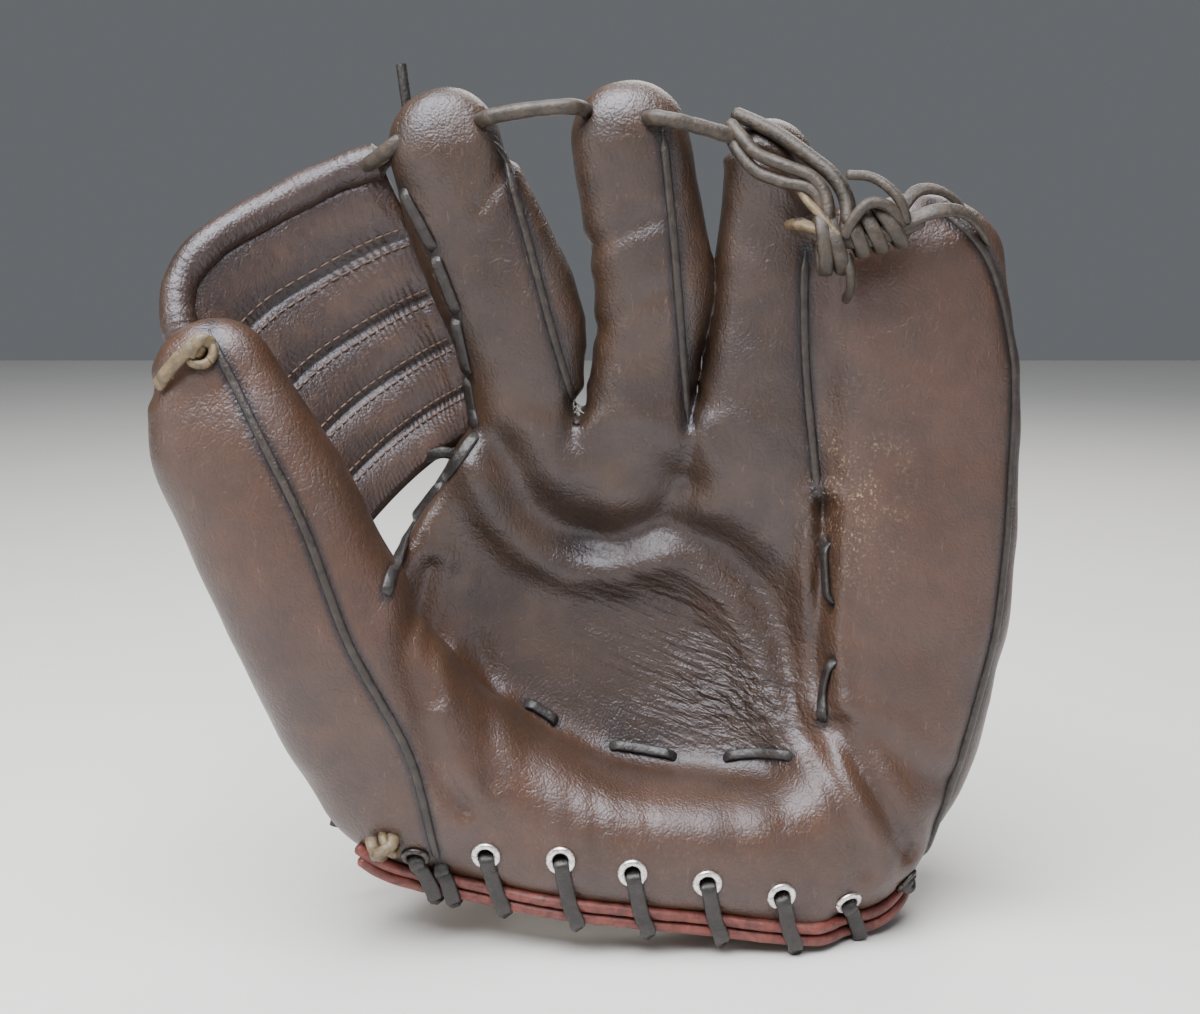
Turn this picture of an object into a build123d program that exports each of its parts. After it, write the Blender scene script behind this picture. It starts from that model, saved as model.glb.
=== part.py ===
"""Five-finger leather baseball glove for the left hand, palm leather forward.

Frame, in millimetres: +Z runs up along the fingers, -Y is the way the palm faces,
+X runs from the thumb to the little finger. The origin is the middle of the wrist
opening, at the level of the lowest point of the heel.
"""
from build123d import *
import os
from math import cos, radians, sin, sqrt, tan

os.makedirs("parts", exist_ok=True)

# ---- Driving dimensions ----------------------------------------------------------------
HIDE = 2.4              # outer leather
FELT = 2.6              # padding inside a finger
LINING = 1.2            # thin glove-leather lining
LAYER_GAP = 0.1         # air between two layers that are sewn together
BODY_GAP = 0.4          # air between leather pieces that fold against each other
LACE = 4.0              # rawhide lace diameter
WELT = 2.6              # width of the welt sewn into a finger seam
WELT_PROUD = 0.9        # how far the welt stands out of the leather
KNUCKLE = 150.0         # height at which the three middle fingers leave the hand
SPLIT = 6.0             # y of the seam between palm leather and back leather
PALM_TOP_OF_HEEL = 60.0 # height where the heel pad stops and the palm felt starts

# Stations of a stall: (height, centre x, centre y, half width, half depth), then the tip.
INDEX = [(150.6, -35.5, -4, 17, 14.5), (178, -36, -6, 20.5, 14.5),
         (213, -48.5, -11, 21.5, 13), (235, -55, -15, 17.5, 11.5)]
MIDDLE = [(150.6, -1, -5, 16.2, 14.5), (178, 3, -7, 17, 14.5), (196, 4, -9, 18, 14),
          (219, 0, -12, 18, 13), (240, -5, -15, 16.5, 11.5)]
RING = [(150.6, 35.3, -6, 18.6, 14.5), (178, 38.4, -8, 16.4, 14.5),
        (205, 38.5, -10, 16.5, 12.5), (232, 37, -14, 13.5, 11)]
LITTLE = [(6, 66, -8, 22, 24), (42, 71, -10, 30, 23), (84, 83, -12, 29, 21),
          (129, 86.5, -13, 28, 19.5), (165, 86, -15, 27.5, 18), (195, 84, -17, 25, 16),
          (209, 83, -19, 20.5, 13.5)]
THUMB = [(18, -60, -14, 26, 22), (51, -75, -27, 27, 23), (72, -87, -33, 28, 21),
         (107, -99, -40, 30, 19), (137, -110, -42, 28, 17.5), (157, -118.5, -42, 23.5, 16),
         (171, -121, -42, 19.5, 13)]
TIP = {"index": 251, "middle": 254, "ring": 243, "little": 222, "thumb": 187}

# The palm block and the room for the hand inside it, with the same kind of stations.
BLOCK = [(1, 12, -14, 76, 34), (30, 5, -10, 94, 39), (60, 0, -6, 102, 42),
         (95, -4, -2, 100, 38), (130, -6, -1, 74, 25), (KNUCKLE, 1.5, -5, 55, 15)]
CAVITY = [(-6, 0, 0, 52, 19), (30, 2, 6, 52, 20), (80, 2, 18, 50, 15),
          (125, 0, 8, 50, 11), (KNUCKLE + 1, 0, -4.5, 48, 8.2)]
WRIST_EDGE = (8, -0.145)  # height of the lower edge at x = 0, and its slope along X
POCKET_CENTRE = (-5, -50, 100)
POCKET_HALF = (60, 45, 48)

# Fold lines: two points on each, and how far the side behind them opens and closes.
THUMB_FOLD = ((-57, -45, 16), (-93, -14, 222))
LITTLE_FOLD = ((75, -31, 15), (54, -29, 129))
CLOSE_RELIEF = 21.5     # half of the closing V in front of a fold line, degrees
OPEN_RELIEF = 3.2       # half of the opening V behind it, degrees

# Wrist strap, sewn at the little-finger side, closed by a domed snap button.
BACK_HOLE = (-38, 52, 12, 84)          # x from, x to, y from, top
STRAP_SPAN = (-54, 61)
STRAP_HEIGHT = (17, 45)
STRAP_THICK = 3.0
STRAP_CLEAR = 0.8
SNAP_AT = (-45, 31)                  # x and height of the button
SNAP_RADIUS = 7.5

# Heel edge: eyelets as (x, height), and the line of the bound edge as (x, height).
EYELETS = [(-46, 28), (-24, 28), (-3, 24), (19, 21), (41, 15), (63, 9)]
THUMB_EYELET = (-68, 27)
LITTLE_EYELET = (82, 9)
EYELET_RING = (4.1, 2.3, 1.4)          # outer radius, hole radius, thickness
HEEL_EDGE = [(-84, 27), (-79, 23.5), (-70, 20.5), (-58, 17.5), (-24, 13.5), (2, 10.5), (32, 6),
             (60, 2.5), (74, 3), (80, 5.5), (85, 9)]
BINDING = 3.4
BINDING_STEP = 4.4                     # from the upper binding down to the lower one
HEEL_SLANT = 3.5                       # how far a heel-lace strap leans towards the little finger

# Web between thumb and index finger: (x, y, bottom, top), and the roll along its top.
WEB = [(-118, -30, 146, 197), (-104, -15, 136, 213), (-88, -6, 128, 223),
       (-74, -4, 133, 227), (-60, -6, 152, 214)]
WEB_THICK = 8.0
WEB_ROLL = [(-127, -38, 193), (-119, -28, 205), (-105, -18, 216), (-90, -13, 225),
            (-77, -12.5, 229.5)]
ROLL = 11.0

# Palm lace: each stitch as the (x, height) of the two holes it runs between.
PALM_STITCHES = [((-36, 70), (-25, 62)), ((-9, 54.5), (12, 51.5)), ((27, 52), (45, 55)),
                 ((52, 67), (51, 84)), ((49, 101), (46, 118))]
STITCH_WIDTH, STITCH_THICK = 3.6, 1.6

# Welts: (x, height) along the seam of each finger.
SEAMS = {
    "index": [(-44, 241), (-34, 207), (-27, 182), (-20, 151)],
    "middle": [(2, 244), (7, 213), (11, 185), (14, 151)],
    "ring": [(43, 232), (46, 196), (48, 170), (51.5, 151)],
    "little": [(88, 216), (103, 195), (109, 170), (109, 137), (105, 94), (95, 55), (84, 10)],
    "thumb": [(-121, 181), (-110, 165), (-95, 129), (-83, 94), (-72, 60), (-64, 24)],
}

# Lace along the index finger's thumb-side edge, where the web is laced on.
EDGE_LACE = [(-73.8, -17, 222), (-70.6, -15.5, 206), (-64, -13, 190), (-58.4, -11, 172), (-55.4, -9.5, 154)]
EDGE_LACE_WIDTH = 2.4

# Free ends of lace: points along each route.
INDEX_TAIL = [(-68.5, 3, 225.5), (-69.2, 4, 237), (-71, 2.8, 248), (-72.3, 3.4, 259)]
HEEL_TAIL = [(-82, 6, 56), (-88.5, 3, 45.5), (-94.5, -1.5, 34), (-98, -3, 21)]
TAIL = 3.2


# ---- Shared shapes ---------------------------------------------------------------------
def oval(station, grow=0.0):
    """Flat oval at one station, grown or shrunk all round."""
    height, x, y, half_width, half_depth = station
    return Plane(origin=(x, y, height)) * Ellipse(half_width + grow, half_depth + grow)


def stall(stations, top, inset=0.0):
    """Closed glove finger: lofted ovals that finish in a rounded tip."""
    height, x, y, half_width, half_depth = stations[-1]
    rise = top - inset - height
    lean = (y - stations[-2][2]) / (height - stations[-2][0])
    ovals = [oval(station, -inset) for station in stations]
    for part in (0.45, 0.75, 0.93):
        shrink = sqrt(1 - part * part)
        spot = (height + rise * part, x, y + lean * rise * part,
                (half_width - inset) * shrink, (half_depth - inset) * shrink)
        ovals.append(oval(spot))
    return loft(ovals, ruled=True)


def stack(stations, grow=0.0):
    """Open-ended body lofted through its stations."""
    return loft([oval(station, grow) for station in stations], ruled=True)


def slab(x_from, x_to, y_from, y_to, z_from, z_to):
    """Block between two corners."""
    size = (x_to - x_from, y_to - y_from, z_to - z_from)
    middle = ((x_from + x_to) / 2, (y_from + y_to) / 2, (z_from + z_to) / 2)
    return Pos(*middle) * Box(*size)


def rod(start, end, diameter):
    """Straight round bar between two points."""
    start, end = Vector(*start), Vector(*end)
    plane = Plane(origin=start, z_dir=end - start)
    return plane * Cylinder(diameter / 2, (end - start).length, align=(Align.CENTER, Align.CENTER, Align.MIN))


def route_radii(points):
    """Largest arc at each corner of a route: 0.45 of the shorter run over tan of half the turn."""
    radii = []
    for before, corner, after in zip(points, points[1:], points[2:]):
        run_in, run_out = Vector(*corner) - Vector(*before), Vector(*after) - Vector(*corner)
        turn = radians(run_in.get_angle(run_out))
        radii.append(0.45 * min(run_in.length, run_out.length) / tan(turn / 2))
    return radii


def tube(points, diameter):
    """Round tube along straight runs joined by tangent arcs."""
    path = FilletPolyline(*points, radius=route_radii(points))
    start = Plane(origin=path @ 0, z_dir=path % 0)
    return sweep(start * Circle(diameter / 2), path=path)


def fold_side(fold, side, reach=400):
    """Everything on one side of a fold line, with V reliefs in front of it and behind it."""
    low, high = Vector(*fold[0]), Vector(*fold[1])
    along = (high - low).normalized()
    sideways = Vector(0, 1, 0).cross(along).normalized() * side
    plane = Plane(origin=low - along * reach, x_dir=sideways, z_dir=along)
    back = side * -1
    front_x, back_x = reach * tan(radians(CLOSE_RELIEF)), reach * tan(radians(OPEN_RELIEF))
    outline = Polyline((BODY_GAP / 2, 0), (front_x, back * reach), (2 * reach, back * reach),
                       (2 * reach, -back * reach), (back_x, -back * reach), close=True)
    return extrude(plane * make_face(outline), amount=3 * reach)


def tilted_half(stations, side):
    """Half space in front (-1) or behind (+1) of a finger's middle plane."""
    foot, head = stations[0], stations[-1]
    along = Vector(0, head[2] - foot[2], head[0] - foot[0]).normalized()
    plane = Plane(origin=(0, foot[2] + side * LAYER_GAP / 2, foot[0]), x_dir=(1, 0, 0), z_dir=along)
    return plane * Pos(0, side * 150, 0) * Box(700, 300, 900)


def oval_front(stations, x, height):
    """y of the front of a lofted body at one x and height."""
    levels = [station[0] for station in stations]
    height = min(max(height, levels[0]), levels[-1])
    upper = next(i for i, level in enumerate(levels) if level >= height and i > 0)
    low, high = stations[upper - 1], stations[upper]
    part = (height - low[0]) / (high[0] - low[0])
    _, mid_x, mid_y, half_x, half_y = [a + (b - a) * part for a, b in zip(low, high)]
    along = min(abs(x - mid_x) / half_x, 0.97)
    return mid_y - half_y * sqrt(1 - along * along)


def seam_band(points, reach=80):
    """Thin upright sheet, as wide as a welt, that follows a seam seen from the front."""
    band = None
    for (x_low, z_low), (x_high, z_high) in zip(points, points[1:]):
        run = Vector(x_high - x_low, 0, z_high - z_low)
        middle = Vector((x_low + x_high) / 2, 0, (z_low + z_high) / 2)
        plane = Plane(origin=middle, x_dir=run.normalized(), z_dir=(0, 1, 0))
        piece = plane * Box(run.length + WELT * 0.4, WELT, 2 * reach)
        band = piece if band is None else band + piece
    return band


def largest(shape):
    """The biggest solid of a result, without the crumbs a cut can leave."""
    return max(shape.solids(), key=lambda solid: solid.volume)


def save(name, shape):
    """Write one node."""
    export_step(shape, f"parts/{name}.step")


# ---- Fingers ---------------------------------------------------------------------------
def finger(name, stations, side_of_fold=None):
    """Front leather, back leather, felt, lining and welt of one finger."""
    top = TIP[name]
    skin = stall(stations, top)
    leather_inner = stall(stations, top, HIDE)
    felt_outer = stall(stations, top, HIDE + LAYER_GAP)
    felt_inner = stall(stations, top, HIDE + LAYER_GAP + FELT)
    lining_outer = stall(stations, top, HIDE + 2 * LAYER_GAP + FELT)
    lining_inner = stall(stations, top, HIDE + 2 * LAYER_GAP + FELT + LINING)
    front, back = tilted_half(stations, -1), tilted_half(stations, 1)
    shell = skin - leather_inner
    pieces = {
        f"{name}_front": shell & front,
        f"{name}_back": shell & back,
        f"{name}_felt": (felt_outer - felt_inner) & front,
        f"{name}_lining": lining_outer - lining_inner,
    }
    for node, piece in pieces.items():
        if side_of_fold is not None:
            piece = piece & side_of_fold
        save(node, largest(piece))
    welt = (stall(stations, top + WELT_PROUD, -WELT_PROUD) - stall(stations, top + 0.05, -0.05)) & front
    welt = welt & seam_band(SEAMS[name])
    if side_of_fold is not None:
        welt = welt & side_of_fold
    save(f"{name}_welt", largest(welt))


# ---- Hand: palm leather, pads, linings, back -------------------------------------------
def bowl(grow=0.0):
    """The pocket, as a stretched ball."""
    size = tuple(half + grow for half in POCKET_HALF)
    return Pos(*POCKET_CENTRE) * scale(Sphere(1), by=size)


def back_hole():
    """The open back between knuckles and strap, open down to the wrist."""
    x_from, x_to, y_from, top = BACK_HOLE
    return slab(x_from, x_to, y_from, 80, -20, top)


def below_wrist():
    """Everything under the slanting lower edge of the hand."""
    height, slope = WRIST_EDGE
    plane = Plane(origin=(0, 0, height), x_dir=(1, 0, slope), z_dir=(-slope, 0, 1))
    return plane * Pos(0, 0, -50) * Box(400, 300, 100)


def hand(root_side):
    """Everything of the middle of the hand, between the two fold lines."""
    inner = HIDE + LAYER_GAP
    skin = stack(BLOCK) - bowl()
    leather_inner = stack(BLOCK, -HIDE) - bowl(HIDE)
    room = stack(CAVITY, LINING + LAYER_GAP)
    open_space = back_hole() + below_wrist()
    shell = (skin - leather_inner - room - open_space) & root_side
    front = slab(-200, 200, -200, SPLIT - LAYER_GAP, -20, KNUCKLE + 5)
    back = slab(-200, 200, SPLIT, 200, -20, KNUCKLE + 5)
    filling = (stack(BLOCK, -inner) - bowl(inner) - room - open_space) & root_side
    seam = PALM_TOP_OF_HEEL
    save("palm_leather", largest(shell & front))
    save("back_leather", largest(shell & back))
    save("heel_pad", largest(filling & slab(-200, 200, -200, SPLIT, -5, seam)))
    save("palm_felt", largest(filling & slab(-200, 200, -200, SPLIT, seam + LAYER_GAP, KNUCKLE - 1)))
    lining = (stack(CAVITY, LINING) - stack(CAVITY) - open_space) & slab(-200, 200, -200, 200, -5, KNUCKLE)
    lining = lining & root_side
    save("palm_lining", largest(lining & front))
    save("back_lining", largest(lining & back))


# ---- Web -------------------------------------------------------------------------------
def web(root_side, thumb_side, neighbours):
    """Padded trap between thumb and index finger, and the stuffed roll along its top."""
    ends = []
    for x, y, bottom, top in WEB:
        plane = Plane(origin=(x, y, (bottom + top) / 2), x_dir=(0, 0, 1), z_dir=(1, 0, 0))
        ends.append(plane * RectangleRounded(top - bottom, WEB_THICK, WEB_THICK * 0.48))
    panel = loft(ends, ruled=True)
    roll = tube(WEB_ROLL, ROLL)
    for neighbour in neighbours:
        panel = panel - neighbour
        roll = roll - neighbour
    panel = panel - tube(WEB_ROLL, ROLL + 0.4)
    save("web_panel_index", largest(panel & root_side))
    save("web_panel_thumb", largest(panel & thumb_side))
    save("web_roll_index", largest(roll & root_side))
    save("web_roll_thumb", largest(roll & thumb_side))


# ---- Heel edge -------------------------------------------------------------------------
def heel_front(x, height):
    """y of the front of the heel: thumb side, middle or little-finger side of the fold lines."""
    if x < THUMB_FOLD[0][0] - 1:
        return oval_front(THUMB, x, height)
    if x > LITTLE_FOLD[0][0]:
        return oval_front(LITTLE, x, height)
    return oval_front(BLOCK, x, height)


def on_front(x, height, proud):
    """Point a little in front of the heel leather."""
    return (x, heel_front(x, height) - proud, height)


def eyelet(x, height, lift=0.5):
    """One metal eyelet, set flat on the leather."""
    here = Vector(*on_front(x, height, 0.1))
    left, right = Vector(*on_front(x - 2, height, 0)), Vector(*on_front(x + 2, height, 0))
    outward = (right - left).cross(Vector(0, 0, 1)).normalized()
    outer, hole, thick = EYELET_RING
    flat = Plane(origin=here + outward * lift, z_dir=outward)
    return flat * (Cylinder(outer, thick, align=(Align.CENTER, Align.CENTER, Align.MIN))
                   - Cylinder(hole, 4 * thick))


def edge_height(x):
    """Height of the upper binding at one x."""
    for (x_low, z_low), (x_high, z_high) in zip(HEEL_EDGE, HEEL_EDGE[1:]):
        if x_low <= x <= x_high:
            return z_low + (z_high - z_low) * (x - x_low) / (x_high - x_low)
    return HEEL_EDGE[-1][1]


def strap_over_edge(x, height):
    """One strap of the heel lace, from its eyelet over both bound edges."""
    thick = LACE * 0.75
    low = edge_height(x + HEEL_SLANT) - BINDING_STEP - 1.2
    start = on_front(x, height - 2, EYELET_RING[2] + thick / 2 + 0.9)
    end = on_front(x + HEEL_SLANT, max(low, height - 17), BINDING + thick / 2 + 1.0)
    return rod(start, end, thick)


def heel_edge(root_side, thumb_side, little_side):
    """Eyelets, bindings and heel lace of the three parts of the heel."""
    upper = [on_front(x, height, 0.7 + BINDING / 2) for x, height in HEEL_EDGE]
    lower = [(x, y, height - BINDING_STEP) for x, y, height in upper]
    clear = WELT_PROUD + 0.2
    heel = [stack(BLOCK, 0.2), stall(THUMB, TIP["thumb"], -clear), stall(LITTLE, TIP["little"], -clear)]
    bindings = [tube(upper, BINDING), tube(lower, BINDING)]
    sides = {"": (root_side, heel[0]), "_thumb": (thumb_side, heel[1]), "_little": (little_side, heel[2])}
    eyelets = {"": EYELETS, "_thumb": [THUMB_EYELET], "_little": [LITTLE_EYELET]}
    for suffix, (side, skin) in sides.items():
        rings = Compound([eyelet(*at, lift=2.4 if suffix else 0.5) for at in eyelets[suffix]])
        upper_piece = largest((bindings[0] & side) - skin - rings)
        lower_piece = largest((bindings[1] & side) - skin - rings)
        straps = []
        for at in eyelets[suffix]:
            strap = strap_over_edge(*at) - skin - upper_piece - lower_piece - rings
            straps.append(largest(strap))
        save(f"heel_binding_upper{suffix}", upper_piece)
        save(f"heel_binding_lower{suffix}", lower_piece)
        save(f"heel_eyelets{suffix}", rings)
        save(f"heel_lace{suffix}", Compound(straps))


# ---- Laces, knots and free ends --------------------------------------------------------
def palm_front(x, height):
    """y of the front of the palm, pocket included."""
    mid_x, mid_y, mid_z = POCKET_CENTRE
    half_x, half_y, half_z = POCKET_HALF
    room = 1 - ((x - mid_x) / half_x) ** 2 - ((height - mid_z) / half_z) ** 2
    bowl_y = mid_y + half_y * sqrt(room) if room > 0 else -200
    return max(bowl_y, oval_front(BLOCK, x, height))


def flat_stitch(start, end):
    """One flat stitch of the palm lace, lying in front of the leather."""
    steps = [(start[0] + (end[0] - start[0]) * part / 8, start[1] + (end[1] - start[1]) * part / 8)
             for part in range(9)]
    first, last = palm_front(*start), palm_front(*end)
    rise = max(first + (last - first) * part / 8 - palm_front(*step) for part, step in enumerate(steps))
    proud = rise + STITCH_THICK / 2 + 1.2
    low, high = Vector(start[0], first - proud, start[1]), Vector(end[0], last - proud, end[1])
    along = (high - low).normalized()
    across = along.cross(Vector(0, 1, 0)).normalized()
    plane = Plane(origin=(low + high) / 2, x_dir=along, z_dir=along.cross(across))
    return plane * Box((high - low).length, STITCH_WIDTH, STITCH_THICK)


def laces():
    """Fingertip laces, edge lace, palm lace, knots and free ends."""
    held = {
        "web_to_index_lace": ((-76, -13, 230), (-69, -19, 234.5)),
        "index_to_middle_lace": ((-45.4, -24, 241.8), (-19.5, -25, 244.5)),
        "middle_to_ring_lace": ((3.2, -26, 240.5), (27.6, -24, 236.2)),
    }
    roll = tube(WEB_ROLL, ROLL + 0.4)
    grown = -WELT_PROUD - 0.2
    tips = [stall(INDEX, TIP["index"], grown), stall(MIDDLE, TIP["middle"], grown), stall(RING, TIP["ring"], grown)]
    for name, (start, end) in held.items():
        lace = rod(start, end, LACE) - roll
        for skin in tips:
            lace = lace - skin
        save(name, largest(lace))
    save("index_edge_lace", tube(EDGE_LACE, EDGE_LACE_WIDTH))
    palm = stack(BLOCK, 0.2) - bowl(-0.2)
    save("palm_lace", Compound([largest(flat_stitch(*points) - palm) for points in PALM_STITCHES]))
    knot = Pos(66, -34, 209) * scale(Sphere(1), by=(15, 6.5, 7))
    save("little_finger_knot", largest(knot - stall(LITTLE, TIP["little"], -WELT_PROUD - 0.2)))
    knot = Pos(-124, -56.5, 176) * scale(Sphere(1), by=(6, 4, 5))
    save("thumb_knot", largest(knot - stall(THUMB, TIP["thumb"], -WELT_PROUD - 0.2)))
    for name, points in {"index_lace_tail": INDEX_TAIL, "heel_lace_tail": HEEL_TAIL}.items():
        tail = tube(points, TAIL)
        print(name, "radii", [round(r, 1) for r in route_radii(points)], "volume", round(tail.volume))
        save(name, tail)


# ---- Wrist strap and snap button -------------------------------------------------------
def wrist_strap():
    """Strap across the back of the wrist, its lining, and the two halves of the snap."""
    x_from, x_to = STRAP_SPAN
    low, high = STRAP_HEIGHT
    outer = STRAP_CLEAR + STRAP_THICK
    window = slab(x_from, x_to, SPLIT + 6, 80, low, high)
    band = (stack(BLOCK, outer) - stack(BLOCK, STRAP_CLEAR + 0.9)) & window
    inset_window = slab(x_from + 2, x_to - 2, SPLIT + 6, 80, low + 1.5, high - 1.5)
    lining = (stack(BLOCK, STRAP_CLEAR + 0.8) - stack(BLOCK, STRAP_CLEAR)) & inset_window
    snap_x, snap_z = SNAP_AT
    back_y = 2 * BLOCK[1][2] - oval_front(BLOCK, snap_x, snap_z)
    plane = Plane(origin=(snap_x, back_y, snap_z), x_dir=(1, 0, 0), z_dir=(-0.28, 0.96, 0))
    bore = plane * Cylinder(2.6, 30)
    cap_base = outer + 0.1
    cap = plane * Pos(0, 0, cap_base) * Cylinder(SNAP_RADIUS, 1.2, align=(Align.CENTER, Align.CENTER, Align.MIN))
    dome = plane * Pos(0, 0, cap_base + 1.2) * scale(Sphere(1), by=(SNAP_RADIUS - 0.6, SNAP_RADIUS - 0.6, 2.6))
    dome = dome & (plane * Pos(0, 0, cap_base + 11.2) * Box(40, 40, 20))
    stud = plane * Cylinder(2.0, STRAP_CLEAR + 2.0, align=(Align.CENTER, Align.CENTER, Align.MIN))
    stud = stud - stack(BLOCK, 0.1)
    save("wrist_strap", largest(band - bore))
    save("wrist_strap_lining", largest(lining - bore))
    save("snap_cap", largest(cap + dome - band))
    save("snap_stud", largest(stud))


root_side = fold_side(THUMB_FOLD, 1) & fold_side(LITTLE_FOLD, -1)
thumb_side = fold_side(THUMB_FOLD, -1)
little_side = fold_side(LITTLE_FOLD, 1)
finger("index", INDEX)
finger("middle", MIDDLE)
finger("ring", RING)
finger("little", LITTLE, little_side)
finger("thumb", THUMB, thumb_side)
hand(root_side)
web(root_side, thumb_side, [stall(INDEX, TIP["index"] + 0.3, -0.3),
                            stall(THUMB, TIP["thumb"] + 1.2, -1.2), stack(BLOCK, 0.3)])
heel_edge(root_side, thumb_side, little_side)
laces()
wrist_strap()
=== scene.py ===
"""Visual model of a worn five-finger leather baseball glove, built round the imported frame.

The leather body is one field on a grid, sculpted in millimetres in the row's frame and turned
into meshes at the end; laces, welts, web, bindings, eyelets and strap are made one by one on it.
"""
import bpy
import math
import numpy as np
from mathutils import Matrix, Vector
from mathutils.bvhtree import BVHTree


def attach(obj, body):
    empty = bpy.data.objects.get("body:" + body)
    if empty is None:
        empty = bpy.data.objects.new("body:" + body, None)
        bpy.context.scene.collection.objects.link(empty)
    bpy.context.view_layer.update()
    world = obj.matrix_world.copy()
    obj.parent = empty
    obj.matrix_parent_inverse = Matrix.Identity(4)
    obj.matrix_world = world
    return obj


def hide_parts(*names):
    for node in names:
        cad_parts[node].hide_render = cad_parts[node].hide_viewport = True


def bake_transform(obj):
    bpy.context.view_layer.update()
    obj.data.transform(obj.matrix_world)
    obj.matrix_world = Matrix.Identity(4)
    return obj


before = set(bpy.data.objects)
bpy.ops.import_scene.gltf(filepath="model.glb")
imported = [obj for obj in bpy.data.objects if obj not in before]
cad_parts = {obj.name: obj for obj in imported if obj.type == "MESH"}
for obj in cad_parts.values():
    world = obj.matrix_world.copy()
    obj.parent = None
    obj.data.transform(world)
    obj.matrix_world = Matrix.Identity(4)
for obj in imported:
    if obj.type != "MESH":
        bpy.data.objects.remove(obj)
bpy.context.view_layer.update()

MM = 0.001
rng = np.random.default_rng(7)

# ---- Sizes, mm, in the row's frame -------------------------------------------------------
STEP = 1.1                       # grid spacing of the leather body
GRID_LOW = (-150.0, -72.0, -8.0)
GRID_HIGH = (122.0, 48.0, 262.0)

# Limbs: x, z, radius seen from the front, y of the middle, half depth.
THUMB = [(-120, 168, 17.5, -42, 12), (-115, 146, 24.5, -41, 17), (-102, 117, 26, -40, 19),
         (-87, 84, 28, -37, 20), (-71, 53, 29, -29, 22)]
LITTLE = [(80, 196, 26, -17, 13), (84, 165, 29.5, -14, 17), (85, 125, 30, -12, 19.5),
          (82, 85, 30, -11, 21), (74, 47, 28, -11, 22.5), (61, 26, 24, -12, 23)]
INDEX = [(-56, 233, 17, -17, 12), (-48.5, 210, 20, -12, 13.5), (-37.5, 181, 19.5, -8, 14.5),
         (-35, 155, 16.5, -4.5, 14), (-33, 130, 18, 2, 13), (-30, 105, 18, 9, 12)]
MIDDLE = [(-4.5, 236, 17, -17, 12), (0, 215, 17.5, -13, 13), (4, 194, 17.5, -10, 14),
          (2.5, 174, 16.5, -7, 14.5), (-1, 152, 16, -5, 14), (0, 130, 17, 1, 13), (1, 105, 17, 9, 12)]
RING = [(37, 229, 13, -16, 11), (40, 212, 17.5, -12, 12.5), (39, 190, 17.5, -9, 14),
        (37, 168, 19, -8, 14.5), (35.5, 150, 19, -7, 14.5), (35, 130, 19, -2, 14), (33, 105, 18, 7, 12)]
HEEL = [(-62, 48.5, 25.5, -26, 23), (-40, 37.5, 23, -26, 23), (-15, 29, 20, -28, 23),
        (12, 25.5, 19.3, -28, 23), (40, 23.3, 21, -27, 22), (60, 27, 25, -21, 22)]
# Palm block and hand room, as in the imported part: z, centre x, centre y, half width, half depth.
BLOCK = [(1, 12, -14, 76, 34), (30, 5, -10, 94, 39), (60, 0, -6, 102, 42),
         (95, -4, -2, 100, 38), (130, -6, -1, 74, 25), (150, 1.5, -5, 55, 15)]
CAVITY = [(-8, 0, 0, 52, 19), (30, 2, 6, 52, 20), (80, 2, 18, 50, 15),
          (125, 0, 8, 50, 11), (152, 0, -4.5, 48, 8)]
# Stall of the little finger, and the way into it from the hand room.
LITTLE_ROOM = LITTLE[:4]
LITTLE_MOUTH = [(80, 114, 21, -8, 16), (64, 107, 21, -3, 17), (46, 100, 21, 3, 17)]
PALM_LEFT = [(152, -50), (149, -52), (133, -62), (115, -73), (105, -76), (60, -80), (0, -80)]
PALM_RIGHT = 57.0
BACK_HOLE = (-38, 52, 12, 84)
WRIST_EDGE = (8, -0.145)
THUMB_FOLD = ((-57, -45, 16), (-93, -14, 222))
LITTLE_FOLD = ((75, -31, 15), (54, -29, 129))
# For each fold: its line, the moving body, and how far before and past the line the leather bends.
FOLDS = {"thumb fold": (THUMB_FOLD, "thumb", 9.0, -9.0),
         "web fold": (THUMB_FOLD, "thumb", 12.0, -12.0),
         "little fold": (LITTLE_FOLD, "little_finger", 0.0, 14.0)}
WALL = 6.3                       # leather, felt and lining together, round a finger stall

# Creases as seen from the front: points (x, z), half width, depth.
CREASES = [
    ([(-64, 108), (-68, 91), (-64, 74), (-59, 56), (-52, 45)], 3.0, 1.7),
    ([(-57, 106), (-62, 92), (-61, 77)], 2.6, 0.8),
    ([(-50, 84), (-46, 68), (-44, 52)], 3.0, 0.9),
    ([(58, 63), (68, 47), (80, 25)], 3.2, 2.4),
    ([(53, 56), (62, 38), (67, 21)], 3.0, 1.3),
    ([(62, 64), (77, 55), (91, 45)], 3.4, 1.1),
    ([(-18, 203), (-7, 209), (4, 214)], 2.6, 0.9),
    ([(-13, 180), (-1, 190), (8, 193)], 2.6, 0.8),
    ([(-42, 143), (-33, 126), (-22, 117), (-8, 115), (4, 122), (12, 134)], 5.5, 3.0),
    ([(10, 120), (24, 114), (37, 100), (45, 80), (49, 62)], 5.5, 2.4),
    ([(-50, 140), (-42, 121), (-28, 109), (-8, 106), (10, 108), (25, 99), (36, 83), (43, 62)], 6.0, -2.0),
    ([(-17, 138), (-10, 132)], 6.5, -2.2),
    ([(-20, 158), (-21, 149)], 2.6, 0.9),
    ([(14, 152), (15, 144)], 2.6, 0.8),
    ([(22, 234), (36, 230), (48, 219)], 1.5, 1.6),
    ([(-139, 165), (-131, 171), (-124, 174)], 2.2, 0.7),
    ([(-47, 217), (-41, 226), (-39, 236)], 2.0, 0.8),
    ([(55, 128), (54.5, 108), (54, 88), (55, 70)], 2.6, 2.2),
]
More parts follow.
